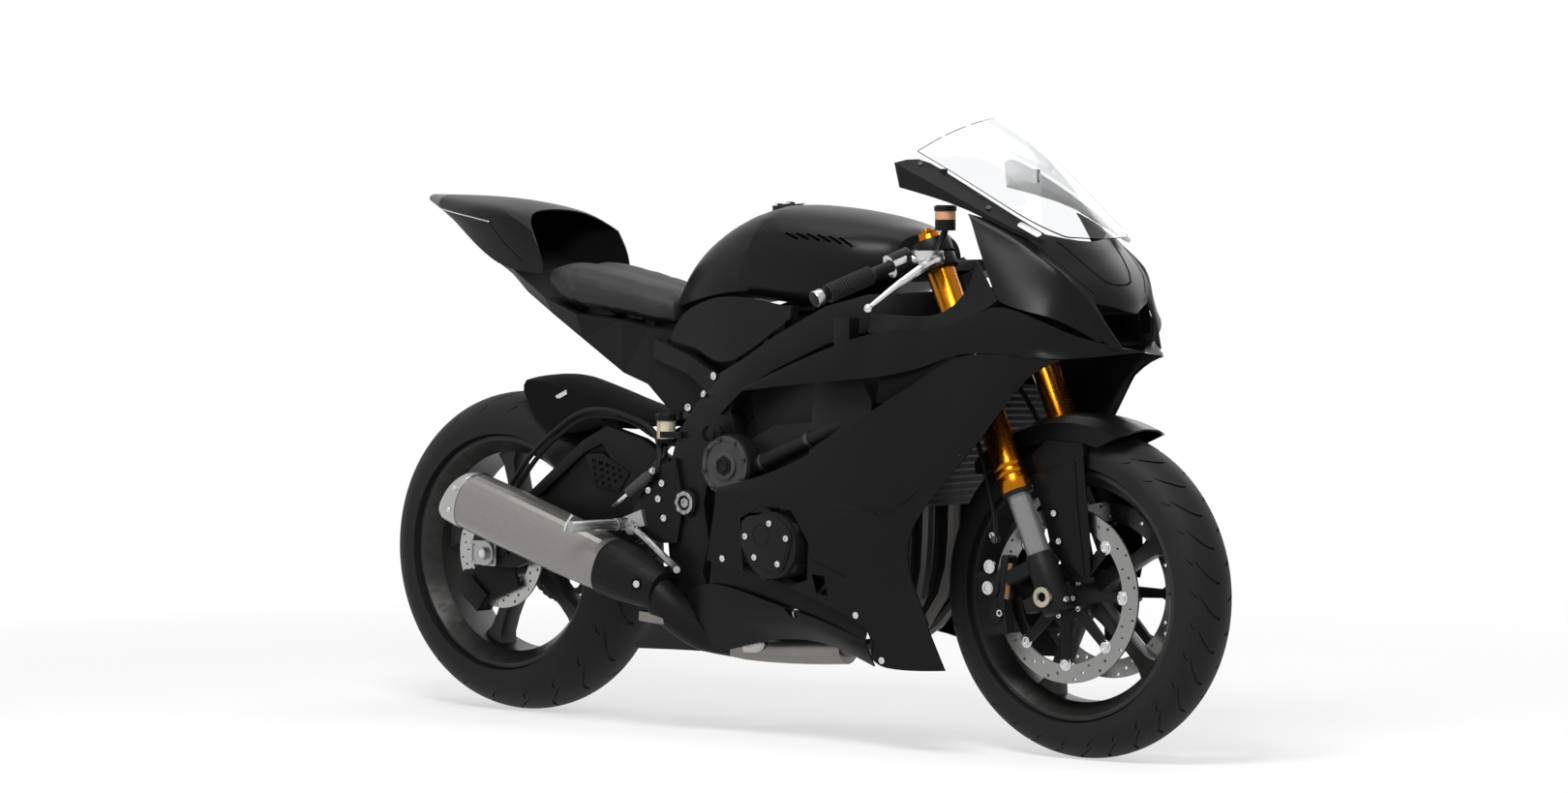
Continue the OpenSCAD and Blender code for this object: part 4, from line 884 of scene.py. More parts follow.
def make_guard_trim():
    """The mudguard's side blades with the slots and screws that hold them."""
    wing = [(1304, 514), (1405, 546), (1410, 467), (1428, 332), (1392, 340), (1352, 383), (1336, 445)]
    side_plate(wing, 80.0, 3.0, 9.0, "guard_wings", "body", PAINT, sides=(-1, 1), edge=1.0, body="steering")
    slot = plate_blank([(-16, -7), (12, -7), (12, 7), (-16, 7)], 0.8, 6.0)
    set_out(slot, "guard_slots", "steering", "body", INNER, out_at([(1356, -84, 447), (1367, -84, 397)]))
    screw = cap_screw(6.0, 5.0)
    set_out(screw, "guard_screws", "steering", "bright_metal", SILVER,
            out_at([(1362, -84.5, 447), (1373, -84.5, 397)]))


make_disc_buttons()
make_fork_trim()
make_axle_nut()
make_caliper_trim()
make_guard_trim()

# Bars and controls


def make_controls():
    """Silver levers on black perches, and the front reservoir with its cap."""
    for node in ("brake_control", "clutch_control"):
        control = copy_node(node, flat=True)
        bevel_edges(control, 0.8, 45.0)
        score(control, BAND_LOW)
        smooth(control, 40.0)
        stand_for(control, node, FRAME_BLACK, SILVER, AMBER, PLASTIC)
        paint_faces(control, 1, lambda c, n: abs(c.y) > 0.181 or (c.x > 1.143 and c.z < 0.915))
        paint_faces(control, 2, lambda c, n: c.z > BAND_LOW * MM)
        paint_faces(control, 3, lambda c, n: c.z > BAND_HIGH * MM)
    lid = round_blank(20.5, 9.0, 32, ((3.0, 1.6), (4.0, -1.0)), 0.7)
    set_out(lid, "front_reservoir_lid", "steering", "body", PLASTIC,
            [facing(at(1150, -134, 989.5), (0, 0, 1))])


def make_grips():
    """Ribbed rubber grips with an end ring each."""
    start, end = at(1098, -105, 922), at(1018, -326, 836)
    way = (end - start).normalized()
    ribs = [round_blank(16.6, 117.0, 32, (), 1.0)]
    for k in range(18):
        rib = round_blank(17.4, 3.0, 28, (), 0.7)
        rib.location.z = (14.0 + 5.4 * k) * MM
        ribs.append(rib)
    flange = round_blank(24.0, 6.5, 36, (), 2.0, 50.0, 3)
    grip = join(ribs + [flange])
    bore = round_blank(11.3, 400.0, 24)
    bore.location.z = -100 * MM
    settle(bore)
    cut_with(grip, bore)
    root = end - way * (4.1 + 118.0) * MM
    mirror = Matrix.Scale(-1, 4, (0, 1, 0))
    moves = [facing(root, way), mirror @ facing(root, way) @ mirror]
    obj = copies(grip, moves)
    bpy.data.objects.remove(grip)
    smooth(obj, 35.0)
    stand_for(obj, "grips", GRIP_RUBBER)
    plug = round_blank(15.0, 16.0, 32, ((5.0, -4.0),), 1.2)
    moves = [facing(end, way), mirror @ facing(end, way) @ mirror]
    set_out(plug, "bar_end_rings", "steering", "bright_metal", END_CAP, moves)


make_controls()
make_grips()

# Screws, seams and slots on the flanks


def skin(node, x, z, side=-1):
    """The place and the way out where a node's flank is met from one side, at a length and a height."""
    obj = pieces.get(node, nodes[node])
    hit, place, normal, _ = obj.ray_cast(at(x, side * 700, z), Vector((0, -side, 0)))
    if not hit:
        raise ValueError(f"{node} has no flank at {x}, {z}")
    return place, normal


def screws_on(name, radius, height, spots, sides=(-1,)):
    """Screw heads on the flanks of nodes, each spot a node, a length and a height."""
    moves = []
    for side in sides:
        for node, x, z in spots:
            place, normal = skin(node, x, z, side)
            moves.append(facing(place - normal * 0.4 * MM, normal))
    return set_out(cap_screw(radius, height), name, "chassis", "bright_metal", SILVER, moves)


def seam_on(node, points, radius, name, sides=(-1, 1), mat=INNER, sunk=0.0):
    """A seam or fold that follows a panel's face through points of length and height."""
    runs = []
    for side in sides:
        route = []
        for (x0, z0), (x1, z1) in zip(points, points[1:]):
            for step in range(6):
                share = step / 6
                place, normal = skin(node, x0 + (x1 - x0) * share, z0 + (z1 - z0) * share, side)
                route.append((place - normal * sunk * MM + SEAT_POINT) / MM)
        place, normal = skin(node, *points[-1], side)
        route.append((place - normal * sunk * MM + SEAT_POINT) / MM)
        runs.append(tube(route, radius, 8, smooth_path=False))
    return dress(join(runs), name, "chassis", "body", mat)


def brow_seam(node, points, radius, sunk):
    """A seam over a panel's brow, along points met from ahead and above, sunk in its face."""
    way = Vector((0.8, 0.0, 0.6))
    route = []
    for start, end in zip(points, points[1:]):
        for step in range(4):
            aim = at(*start).lerp(at(*end), step / 4)
            _, place, normal, _ = pieces[node].ray_cast(aim + way * 0.1, -way)
            route.append((place - normal * sunk * MM + SEAT_POINT) / MM)
    return tube(route, radius, 12, smooth_path=False)


def slot_in(node, outline, depth, side=-1):
    """A cut through a flank along an outline of length and height, in millimetres."""
    middle_x = sum(p[0] for p in outline) / len(outline)
    middle_z = sum(p[1] for p in outline) / len(outline)
    place, _ = skin(node, middle_x, middle_z, side)
    cutter = plate_blank([(x - middle_x, z - middle_z) for x, z in outline], 2 * depth, 3.0)
    cutter.matrix_world = (Matrix.Translation(place) @ Matrix.Rotation(math.pi / 2, 4, "X")
                           @ Matrix.Translation((0, 0, -depth * MM)))
    settle(cutter)
    cut_with(pieces[node], cutter)


def make_fairing_detail():
    """Screws, slots and seams of the fairing, nose and belly panels, dull black sheets of painted shade in
    their gaps, and the screen's clips.
    """
    vent = [(907, 323), (936, 321), (940, 284), (914, 287)]
    for side, panel in ((-1, "fairing_right"), (1, "fairing_left")):
        slot_in(panel, vent, 14.0, side)
        slot_in("belly_pans", [(828, 256), (848, 254), (862, 240), (842, 240)], 14.0, side)
        screws_on(panel + "_screws", 6.5, 3.0, [(panel, 690, 342), (panel, 1003, 252), (panel, 1058, 172)],
                  (side,))
        seam_on(panel, [(906, 352), (925, 344), (984, 322)], 0.9, panel + "_upper_seam", (side,))
        seam_on(panel, [(740, 448), (829, 445), (944, 443), (1061, 438), (1095, 381), (1133, 294),
                        (1158, 238)], 4.0, panel + "_fold", (side,), PAINT, 3.0)
        seam_on(panel, [(1061, 438), (1127, 471), (1194, 520), (1240, 552)], 4.0, panel + "_front_fold",
                (side,), PAINT, 3.0)
    strut = block_blank((7, 3, 52))
    bevel_edges(strut, 0.8, 40.0)
    moves = [tilted(at(926, s * 203, 303), 42) for s in (-1, 1)]
    set_out(strut, "vent_struts", "chassis", "dark_metal", CASTING, moves)
    backing = [(636, 262), (648, 352), (740, 332), (830, 312), (926, 284), (1024, 236), (1012, 190),
               (921, 222), (807, 246), (660, 276)]
    side_plate(backing, 196.5, 2.0, 4.0, "fairing_flanges", "body", PAINT, sides=(-1, 1))
    # Dull black sheets that close the gaps inside the nose: they shut the gap, and their dull black is
    # painted shade of the fairing's inside
    liner = [(1276, 826), (1325, 842), (1392, 826), (1408, 800), (1406, 766), (1340, 762), (1282, 773)]
    side_plate(liner, 143.0, 2.0, 5.0, "nose_gap_shade_sheets", "body", INNER, sides=(-1, 1))
    # Dull black sheets that close the gaps beside the radiator: they shut the gap, and their dull black is
    # painted shade of the inside
    guard = [(1040, 640), (1050, 690), (1110, 706), (1160, 728), (1235, 728), (1235, 690), (1150, 668),
             (1120, 640)]
    side_plate(guard, 197.5, 2.0, 6.0, "radiator_gap_shade_sheets", "body", INNER, sides=(-1, 1))
    brow = [(1366, -83, 937), (1377, -77, 926), (1402, -67, 903), (1425, -54, 881), (1441, -37, 863),
            (1447, -20, 858), (1449, 0, 857)]
    brow += [(x, -y, z) for x, y, z in reversed(brow[:-1])]
    edge = [(1315, -138, 952), (1371, -126, 914), (1420, -105, 871), (1450, -68, 832)]
    runs = [brow_seam("nose_cowl", brow, 3.4, 2.2), brow_seam("nose_cowl", edge, 1.2, 0.4),
            brow_seam("nose_cowl", [(x, -y, z) for x, y, z in edge], 1.2, 0.4)]
    dress(join(runs), "nose_ridges", "chassis", "body", INNER)
    bar_way = Vector((0.30, -0.66, 0.69))
    low_way = Vector((0.44, -0.50, 0.74))
    mirror = Vector((1, -1, 1))
    moves = [facing(at(1102, -146, 1075), bar_way), facing(at(1102, 146, 1075), bar_way * mirror),
             facing(at(1261, -150, 995), low_way), facing(at(1261, 150, 995), low_way * mirror)]
    set_out(cap_screw(5.0, 3.0), "screen_screws", "chassis", "dark_metal", DARK_STEEL, moves)
    plate = plate_blank([(-24, -7), (24, -7), (24, 7), (-24, 7)], 2.0, 5.0)
    step_top(plate, (3.0, -0.8))
    run = Vector((43, 8, -22)).normalized()
    moves = []
    for side in (-1, 1):
        up = Vector((0.47, side * 0.46, 0.75)).normalized()
        along = run * Vector((1, -side, 1))
        along = (along - up * along.dot(up)).normalized()
        turn = Matrix((along, up.cross(along), up)).transposed().to_4x4()
        moves.append(Matrix.Translation(at(1341, side * 134, 955) + up * 0.5 * MM) @ turn)
    set_out(plate, "screen_clips", "chassis", "bright_metal", END_CAP, moves)
    cup = round_blank(9.0, 2.0, 24, ((2.0, -1.4),))
    moves = [facing(at(852, s * 197, 246), (0, s, 0)) for s in (-1, 1)]
    set_out(cup, "belly_cups", "chassis", "bright_metal", SILVER, moves)


def make_engine_detail():
    """Plates, rings, screws and a plug on the engine's covers, its lower sides, and the water hose."""
    crank = [(757, 424), (832, 433), (878, 396), (866, 357), (848, 318), (774, 340), (749, 374)]
    side_plate(crank, 231.0, 9.0, 16.0, "crank_plates", "dark_metal", CASTING, ((4.0, 2.4),), (-1, 1), 1.6)
    screw = cap_screw(6.0, 5.0)
    set_out(screw, "crank_screws", "chassis", "bright_metal", SILVER,
            out_at([(768, -242.0, 388), (826, -242.0, 414), (866, -242.0, 388), (790, -242.0, 350),
                    (846, -242.0, 340)]))
    ring = round_blank(20.0, 0.8, 48, ((1.4, -0.7),))
    set_out(ring, "crank_windows", "chassis", "dark_metal", FRAME_BLACK, out_at([(803, -242.2, 392)]))
    cover = round_blank(55.0, 7.0, 64, ((9.0, -3.5), (15.0, 0), (4.0, 5.0)), 1.2, 40.0)
    set_out(cover, "clutch_rings", "chassis", "dark_metal", CAST_GREY, out_at([(668, -181.0, 513)]))
    boss = round_blank(19.0, 9.0, 6, ((4.0, 4.0), (3.0, -3.0)), 1.0, 30.0)
    set_out(boss, "clutch_bosses", "chassis", "dark_metal", CASTING, out_at([(668, -184.0, 513)]))
    rim = [math.tau * (k + 0.3) / 8 for k in range(8)]
    set_out(cap_screw(4.5, 5.0), "clutch_screws", "chassis", "bright_metal", DARK_STEEL,
            out_at([(668 + 49 * math.cos(a), -188.0, 513 + 49 * math.sin(a)) for a in rim]))
    plug = round_blank(17.0, 14.0, 10, ((3.0, 3.0), (4.0, 7.0)), 1.2, 30.0)
    set_out(plug, "oil_plug", "chassis", "body", PLASTIC, [facing(at(640, -172, 572), RIGHT)])
    hose = tube([(690, -146, 500), (724, -156, 514), (800, -160, 545), (870, -158, 572), (935, -150, 600)],
                15.0, 20)
    lay(hose, "water_hose", "rubber", HOSE_RUBBER)
    clamp = round_blank(17.0, 9.0, 32, (), 0.8)
    way = Vector((76, -4, 31)).normalized()
    set_out(clamp, "hose_clamps", "chassis", "bright_metal", DARK_STEEL,
            [facing(at(735, -156.6, 518.5), way), facing(at(850, -158.8, 564.5), way)])
    side_plate([(622, 546), (622, 656), (714, 656), (714, 546)], 104.0, 4.0, 6.0, "engine_rear_plates",
               "dark_metal", CASTING, ((8.0, -1.5),), (-1, 1))
    pan = [(600, 188), (612, 166), (650, 158), (700, 160), (716, 172), (712, 190)]
    side_plate(pan, 122.0, 6.0, 8.0, "sump_sides", "bright_metal", END_CAP, ((3.0, 2.0),), (-1, 1))


def make_frame_detail():
    """Screws of the frame, its round window, and the swingarm pivot's ring nuts."""
    rail = [("undertray", 610, 678), ("undertray", 508, 614)]
    screws_on("rail_screws", 8.0, 5.0, rail, (-1, 1))
    screws_on("frame_screws", 7.0, 5.0, [("frame_right", 587, 643)])
    screws_on("frame_screws_left", 7.0, 5.0, [("frame_left", 587, 643)], (1,))
    window = round_blank(15.0, 0.9, 32, ((2.5, -0.7),))
    set_out(window, "frame_windows", "chassis", "dark_metal", INNER, out_at([(596, -150.4, 569)]))
    nut = round_blank(22.0, 7.0, 12, (), 1.2, 20.0)
    hollow = round_blank(14.5, 20.0, 32)
    cut_with(nut, hollow)
    lug = block_blank((9.0, 44.0, 4.0), (0, 0, 6.5))
    bevel_edges(lug, 1.0, 40.0)
    gap = round_blank(15.0, 20.0, 32)
    cut_with(lug, gap)
    lugs = copies(lug, [Matrix.Rotation(math.tau * k / 8, 4, "Z") for k in range(4)])
    bpy.data.objects.remove(lug)
    set_out(join([nut, lugs]), "pivot_nuts", "chassis", "bright_metal", ALLOY, out_at([(546, -156.0, 437)]))
    core = round_blank(10.0, 5.0, 6, ((4.0, -3.0),), 0.8, 30.0)
    set_out(core, "pivot_ends", "chassis", "bright_metal", ALLOY, out_at([(546, -157.0, 437)]))


# Rear brake, foot controls and swingarm


def make_rearsets():
    """Black plates with silver pegs and pedals, their screws, and the rear brake's cylinder."""
    for node in ("rearset_right", "rearset_left"):
        rest = copy_node(node, flat=True)
        bevel_edges(rest, 0.9, 45.0)
        smooth(rest, 40.0)
        stand_for(rest, node, FRAME_BLACK, ALLOY)
        paint_faces(rest, 1, lambda c, n: abs(c.y) > 0.1605)
    screw = cap_screw(7.0, 5.0)
    set_out(screw, "rearset_screws", "chassis", "bright_metal", SILVER,
            out_at([(489, -158, 472), (480, -158, 442), (494, -158, 406), (455, -158, 458)]))
    way = at(478, -168, 497) - at(404, -168, 446)
    barrel = round_blank(11.0, 62.0, 28, ((2.5, 6.0), (3.0, 8.0)), 1.0, 45.0)
    set_out(barrel, "rear_brake_cylinder", "chassis", "dark_metal", CAST_GREY,
            [facing(at(412, -168, 451), way)])
    rod = tube([(412, -168, 451), (372, -168, 424)], 4.0, 12, smooth_path=False)
    dress(rod, "rear_brake_rod", "chassis", "bright_metal", SILVER)
    union = round_blank(7.0, 15.0, 6, ((1.5, 4.0),), 0.7, 30.0)
    set_out(union, "rear_brake_union", "chassis", "bright_metal", SILVER,
            [facing(at(477, -160, 496), RIGHT)])
    feelers = join([tube([(374, s * 286, 414), (362, s * 288, 396), (357, s * 289, 382)], 3.0, 12)
                    for s in (-1, 1)])
    lay(feelers, "peg_feelers", "bright_metal", SILVER)


def make_reservoir():
    """The rear brake's reservoir with a stepped cap and its hose."""
    cup = copy_node("rear_reservoir", flat=True)
    bevel_edges(cup, 1.0, 45.0)
    smooth(cup, 40.0)
    stand_for(cup, "rear_reservoir", CREAM, FRAME_BLACK)
    paint_faces(cup, 1, lambda c, n: c.z > 0.589 or math.hypot(c.x - 0.482, c.y + 0.140) > 0.0195)
    cap = round_blank(21.0, 11.0, 24, ((2.0, 1.4), (5.0, -1.0)), 0.8, 40.0)
    set_out(cap, "rear_reservoir_cap", "chassis", "body", PLASTIC,
            [facing(at(482, -140, 590.5), (0, 0, 1))])
    hose = tube([(482, -140, 540), (478, -144, 522), (470, -158, 508), (474, -168, 497)], 5.0, 12)
    lay(hose, "rear_reservoir_hose", "rubber", HOSE_RUBBER)


def make_swingarm_detail():
    """The vented patch, the axle blocks and nut, the hoses along the arm, and the hugger's clip."""
    patch = plate_blank([(258, 517), (300, 521), (373, 486), (345, 446), (284, 455)], 3.5, 6.0)
    bevel_edges(patch, 0.8, 45.0)
    for row in range(4):
        for column in range(5):
            x = 282 + 17.0 * column + 3.0 * row
            z = 506 - 13.0 * row - 4.0 * column
            if x < 362 - 3 * row and z > 458:
                cut_with(patch, block_blank((11.0, 7.0, 12.0), (x, z, 3.0)))
    patch.data.transform(Matrix.Translation(at(0, -119.2, 0)) @ Matrix.Rotation(math.pi / 2, 4, "X"))
    smooth(patch, 36.0)
    dress(patch, "arm_patch", "chassis", "body", PLASTIC)
    block = [(-42, 338), (26, 341), (26, 290), (-42, 293)]
    side_plate(block, 121.0, 7.0, 5.0, "axle_block_right", "bright_metal", ALLOY, ((6.0, -1.6),))
    nut = hex_nut(18.0, 13.0, 10.5)
    set_out(nut, "rear_axle_nut", "chassis", "bright_metal", SILVER, [facing(at(0, -129.0, 315), RIGHT)])
    side_plate(block, 136.0, 5.0, 5.0, "axle_block_left", "bright_metal", ALLOY, ((6.0, -1.6),), (1,))
    hose = tube([(20, -122, 392), (66, -124, 452), (120, -126, 512), (179, -126, 558), (245, -124, 596),
                 (300, -122, 604), (360, -122, 596), (440, -128, 566), (470, -146, 530), (477, -160, 500)],
                5.5, 12)
    spare = tube([(40, -118, 400), (84, -120, 454), (138, -122, 512), (196, -122, 556), (258, -118, 588),
                  (312, -116, 592), (370, -116, 584), (432, -112, 556), (486, -104, 540)], 5.0, 12)
    hose = join([hose, spare])
    lay(hose, "rear_brake_hose", "rubber", HOSE_RUBBER)
    clip = block_blank((30, 2.5, 9))
    bevel_edges(clip, 0.8, 40.0)
    place, normal = skin("rear_hugger", 160, 628)
    set_out(clip, "hugger_clip", "chassis", "bright_metal", SILVER,
            [tilted(place + normal * 1.5 * MM, -24)])


# Exhaust

CAN_START = at(396, -200, 312)
CAN_WAY = Vector((-410, 0, 126)).normalized()
CAN_UP = Vector((CAN_WAY.z, 0, -CAN_WAY.x))
CAN_LENGTH = 372.0
CAP_LENGTH = 46.0


def make_silencer():
    """The can's slanted end cap with its screws, the cover's screw in its cup, and the pipe's dark part."""
    cap = copy_node("silencer_end_cap", flat=True)
    for vert in cap.data.vertices:
        along = (vert.co - CAN_START).dot(CAN_WAY) / MM - CAN_LENGTH
        height = (vert.co - CAN_START).dot(CAN_UP) / MM
        if along > CAP_LENGTH * 0.3:
            vert.co += CAN_WAY * (along / CAP_LENGTH) * (-5.0 - 19.0 * height / 57.0) * MM
    bevel_edges(cap, 1.6, 45.0)
    smooth(cap, 40.0)
    stand_for(cap, "silencer_end_cap", END_CAP)
    screws_on("end_cap_screws", 5.5, 3.0, [("silencer_end_cap", 36, 450), ("silencer_end_cap", 22, 408)])
    ring = round_blank(11.0, 2.0, 32, ((2.0, -1.4),))
    place, normal = skin("silencer_cover", 498, 286)
    set_out(ring, "cover_cup", "chassis", "body", INNER, [facing(place, normal)])
    screws_on("cover_screw", 7.0, 3.5, [("silencer_cover", 498, 286)])
    pipe = copy_node("silencer_pipe")
    points = [(vert, vert.co.copy(), vert.normal.copy()) for vert in pipe.data.vertices]
    for vert, place, normal in points:
        swell = min(1.0, max(0.0, (-0.125 - place.y) / 0.03))
        vert.co = place + normal * 10.0 * swell * MM
    smooth(pipe, 50.0)
    stand_for(pipe, "silencer_pipe", HEADER, PLASTIC)
    paint_faces(pipe, 1, lambda c, n: c.y < -0.150 or c.x < 0.640)


def make_pipe_parts():
    """The valve box under the silencer's pipe, and a dull black sheet of painted shade where the pipe enters
    the belly.
    """
    box = block_blank((62, 24, 20))
    bevel_edges(box, 3.0, 40.0, 3)
    set_out(box, "exhaust_valve_box", "chassis", "steel", HEADER, [tilted(at(512, -208, 222), 4)])
    # A dull black sheet inside the belly's opening: painted shade where the pipe goes in
    mouth = [(478, 228), (600, 232), (606, 164), (540, 166), (488, 192)]
    side_plate(mouth, 143.0, 3.0, 5.0, "pipe_mouth_shade_sheet", "body", INNER)


# Chain drive


def chain_path():
    """Points of the chain's loop round both sprockets, in length and height."""
    front, rear = Vector((640, 440)), Vector((0, 315))
    front_r, rear_r = 41.0, 108.0
    line = rear - front
    reach = line.length
    base = math.atan2(line.y, line.x)
    lean = math.acos((front_r - rear_r) / reach)
    knots = []
    for k in range(25):
        a = base - lean + (2 * lean - math.tau) * k / 24
        knots.append(front + front_r * Vector((math.cos(a), math.sin(a))))
    for k in range(41):
        a = base + lean - 2 * lean * k / 40
        knots.append(rear + rear_r * Vector((math.cos(a), math.sin(a))))
    return knots + [knots[0]]


def make_chain():
    """A roller chain of single links in the place of its plain loop."""
    knots = chain_path()
    lengths = [(b - a).length for a, b in zip(knots, knots[1:])]
    total = sum(lengths)
    count = 2 * round(total / CHAIN_PITCH / 2)
    pitch = total / count
    pins = []
    for k in range(count):
        left = k * pitch
        for a, b, span in zip(knots, knots[1:], lengths):
            if left <= span:
                pins.append(a + (b - a) * (left / span))
                break
            left -= span
    outline = [(-6.4, -2.0), (-3.4, -5.0), (0.0, -5.6), (pitch / 2, -4.3), (pitch, -5.6),
               (pitch + 3.4, -5.0), (pitch + 6.4, -2.0), (pitch + 6.4, 2.0), (pitch + 3.4, 5.0),
               (pitch, 5.6), (pitch / 2, 4.3), (0.0, 5.6), (-3.4, 5.0), (-6.4, 2.0)]
    links = []
    for wide in (0, 1):
        plates = []
        for side in (-1, 1):
            plate = plate_blank(outline, 1.8)
            bevel_edges(plate, 0.4, 45.0, 1)
            plate.data.transform(Matrix.Translation((0, 0, (side * (4.6 + 2.0 * wide) - 0.9) * MM)))
            plates.append(plate)
        for x in (0.0, pitch):
            pin = round_blank(3.0 if wide else 4.6, 15.4 if wide else 8.6, 14, (), 0.5, 45.0, 1)
            pin.data.transform(Matrix.Translation((x * MM, 0, (-7.7 if wide else -4.3) * MM)))
            plates.append(pin)
        links.append(join(plates))
    made = []
    for k, pin in enumerate(pins):
        step = pins[(k + 1) % count] - pin
        turn = math.atan2(step.y, step.x)
        move = (Matrix.Translation(at(pin.x, CHAIN_Y, pin.y)) @ Matrix.Rotation(-turn, 4, "Y")
                @ Matrix.Rotation(math.pi / 2, 4, "X"))
        made.append((k % 2, move))
    loops = [copies(links[wide], [move for kind, move in made if kind == wide]) for wide in (0, 1)]
    for link in links:
        bpy.data.objects.remove(link)
    chain = join(loops)
    smooth(chain, 35.0)
    stand_for(chain, "chain", DARK_STEEL)


# Seat and tail


def make_seat():
    """A padded seat, blown up a little under its cover."""
    pad = copy_node("seat")
    apply_modifier(pad, "REMESH", mode="VOXEL", voxel_size=0.006)
    open_mesh(pad)
    bpy.ops.transform.shrink_fatten(value=-0.004)
    bpy.ops.object.mode_set(mode="OBJECT")
    rest = [vert.co.copy() for vert in pad.data.vertices]
    pick(pad)
    cloth = pad.modifiers.new("cloth", "CLOTH")
    cloth.settings.use_pressure = True
    cloth.settings.uniform_pressure_force = 4.0
    cloth.settings.effector_weights.gravity = 0.0
    cloth.point_cache.frame_start = 1
    cloth.point_cache.frame_end = BLOW_FRAMES
    for step in range(1, BLOW_FRAMES + 1):
        bpy.context.scene.frame_set(step)
    bpy.ops.object.modifier_apply(modifier=cloth.name)
    bpy.context.scene.frame_set(1)
    for vert, start in zip(pad.data.vertices, rest):
        move = vert.co - start
        if move.length > BLOW_REACH:
            vert.co = start + move.normalized() * BLOW_REACH
    apply_modifier(pad, "SUBSURF", levels=1, render_levels=1)
    smooth(pad, 60.0)
    stand_for(pad, "seat", VINYL)


def make_tail():
    """The tail hump with its grey tip and a bright line along its edge."""
    tail = moulded("tail_cowl", PAINT, TAIL_GREY)
    paint_faces(tail, 1, lambda c, n: c.x < -0.205 and n.z > -0.2)
    seam_on("tail_cowl", [(-200, 990), (-144, 983), (-68, 974), (-5, 965)], 1.3, "tail_edge_line",
            mat=SILVER)
    seam_on("tail_cowl", [(-5, 964), (38, 925), (93, 888)], 1.0, "tail_seam")


def make_filler_ring():
    """The filler lid's ring of screws and its key cover."""
    low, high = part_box("fuel_cap")
    middle = Vector(((low[0] + high[0]) / 2, 0, high[2]))
    ring = [math.tau * k / 6 for k in range(6)]
    moves = [facing(middle + Vector((26 * math.cos(a), 26 * math.sin(a), -0.6)) * MM, (0, 0, 1))
             for a in ring]
    set_out(cap_screw(4.0, 3.0), "filler_screws", "filler_lid", "bright_metal", SILVER, moves)
    cover = plate_blank([(-9, -6), (9, -6), (9, 6), (-9, 6)], 3.0, 5.0)
    step_top(cover, (2.0, 1.0))
    bevel_edges(cover, 0.6, 40.0)
    set_out(cover, "filler_key_cover", "filler_lid", "dark_metal", CASTING, [Matrix.Translation(middle)])


make_fairing_detail()
make_engine_detail()
make_frame_detail()
make_rearsets()
make_reservoir()
make_swingarm_detail()
make_silencer()
make_pipe_parts()
make_chain()
make_seat()
make_tail()
make_filler_ring()

# Stage, light and camera


def make_floor():
    """A pale round floor that fades into the white behind it."""
    deselect()
    bpy.ops.mesh.primitive_circle_add(vertices=96, radius=7.0, fill_type="NGON", location=(0.4, 0, GROUND))
    floor = bpy.context.object
    floor.name = "studio_floor"
    mat, tree, shader, coords = new_material("pale floor")
    shader.inputs["Base Color"].default_value = (0.92, 0.92, 0.92, 1)
    shader.inputs["Roughness"].default_value = 0.85
    shader.inputs["Specular IOR Level"].default_value = 0.1
    reach = tree.nodes.new("ShaderNodeVectorMath")
    reach.operation = "LENGTH"
    tree.links.new(coords, reach.inputs[0])
    fade = tree.nodes.new("ShaderNodeMapRange")
    fade.inputs["From Min"].default_value = 1.6
    fade.inputs["From Max"].default_value = 3.2
    fade.inputs["To Min"].default_value = 0.6
    tree.links.new(reach.outputs["Value"], fade.inputs["Value"])
    glow = tree.nodes.new("ShaderNodeEmission")
    mix = tree.nodes.new("ShaderNodeMixShader")
    tree.links.new(fade.outputs["Result"], mix.inputs["Fac"])
    tree.links.new(shader.outputs[0], mix.inputs[1])
    tree.links.new(glow.outputs[0], mix.inputs[2])
    tree.links.new(mix.outputs[0], tree.nodes["Material Output"].inputs["Surface"])
    floor.data.materials.append(mat)


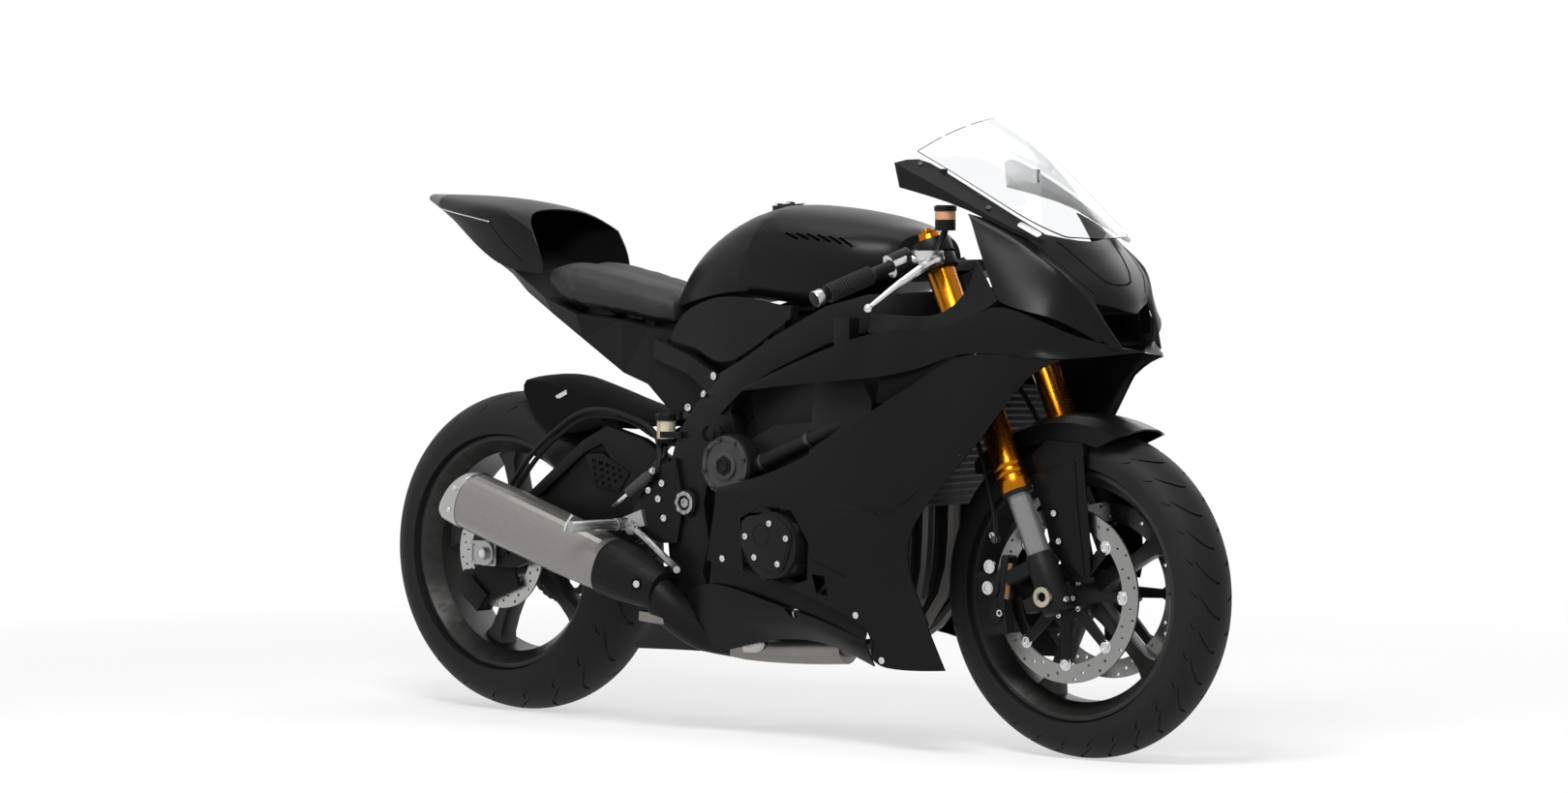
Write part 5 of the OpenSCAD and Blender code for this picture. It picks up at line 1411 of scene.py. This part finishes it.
def make_world():
    """White behind the bike, and a soft grey room for its light."""
    world = bpy.data.worlds.new("studio")
    bpy.context.scene.world = world
    world.use_nodes = True
    tree = world.node_tree
    room = tree.nodes["Background"]
    coords = tree.nodes.new("ShaderNodeTexCoord")
    split = tree.nodes.new("ShaderNodeSeparateXYZ")
    tree.links.new(coords.outputs["Generated"], split.inputs[0])
    rise = tree.nodes.new("ShaderNodeMapRange")
    rise.inputs["From Min"].default_value = -0.1
    rise.inputs["From Max"].default_value = 0.9
    rise.inputs["To Min"].default_value = 0.15
    rise.inputs["To Max"].default_value = 0.40
    tree.links.new(split.outputs["Z"], rise.inputs["Value"])
    tree.links.new(rise.outputs["Result"], room.inputs["Strength"])
    room.inputs["Color"].default_value = (1, 1, 1, 1)
    white = tree.nodes.new("ShaderNodeBackground")
    white.inputs["Color"].default_value = (1, 1, 1, 1)
    path = tree.nodes.new("ShaderNodeLightPath")
    direct = math_node(tree, "MAXIMUM", path.outputs["Is Camera Ray"], path.outputs["Is Transmission Ray"])
    seen = math_node(tree, "MAXIMUM", direct.outputs[0], path.outputs["Is Glossy Ray"])
    mix = tree.nodes.new("ShaderNodeMixShader")
    tree.links.new(seen.outputs[0], mix.inputs["Fac"])
    tree.links.new(room.outputs[0], mix.inputs[1])
    tree.links.new(white.outputs[0], mix.inputs[2])
    tree.links.new(mix.outputs[0], tree.nodes["World Output"].inputs["Surface"])


def add_softbox(name, place, aim, size, power):
    """A lamp with a wide soft face, turned to a point."""
    lamp = bpy.data.lights.new(name, "AREA")
    lamp.shape = "RECTANGLE"
    lamp.size, lamp.size_y = size
    lamp.energy = power
    obj = bpy.data.objects.new(name, lamp)
    obj.location = place
    obj.rotation_euler = (Vector(aim) - Vector(place)).to_track_quat("-Z", "Y").to_euler()
    bpy.context.scene.collection.objects.link(obj)


def make_camera():
    """The photographer's place, fitted to both wheels."""
    azimuth, elevation, distance = math.radians(39.948), math.radians(2.347), 9.7007
    target = at(656.25, 0.0, 635.84)
    way = Vector((math.cos(elevation) * math.sin(azimuth), -math.cos(elevation) * math.cos(azimuth),
                  math.sin(elevation)))
    cam = bpy.data.cameras.new("photo_camera")
    cam.sensor_width = 36.0
    focal_pixels, photo_width = 5282.43, 1620.0
    cam.lens = focal_pixels * cam.sensor_width / photo_width
    cam.clip_end = 100.0
    obj = bpy.data.objects.new("photo_camera", cam)
    obj.location = target + way * distance
    obj.rotation_euler = (-way).to_track_quat("-Z", "Y").to_euler()
    bpy.context.scene.collection.objects.link(obj)
    bpy.context.scene.camera = obj


make_floor()
make_world()
add_softbox("softbox_key", (1.3, -1.9, 2.0), (0.5, 0.0, -0.2), (1.5, 1.0), 104.0)
add_softbox("softbox_top", (0.2, 0.3, 3.0), (0.4, 0.0, -0.2), (3.0, 1.6), 36.0)
add_softbox("softbox_left", (0.0, 3.6, 1.8), (0.4, 0.0, -0.2), (3.0, 2.0), 40.0)
make_camera()
bpy.context.scene.view_settings.view_transform = "Standard"
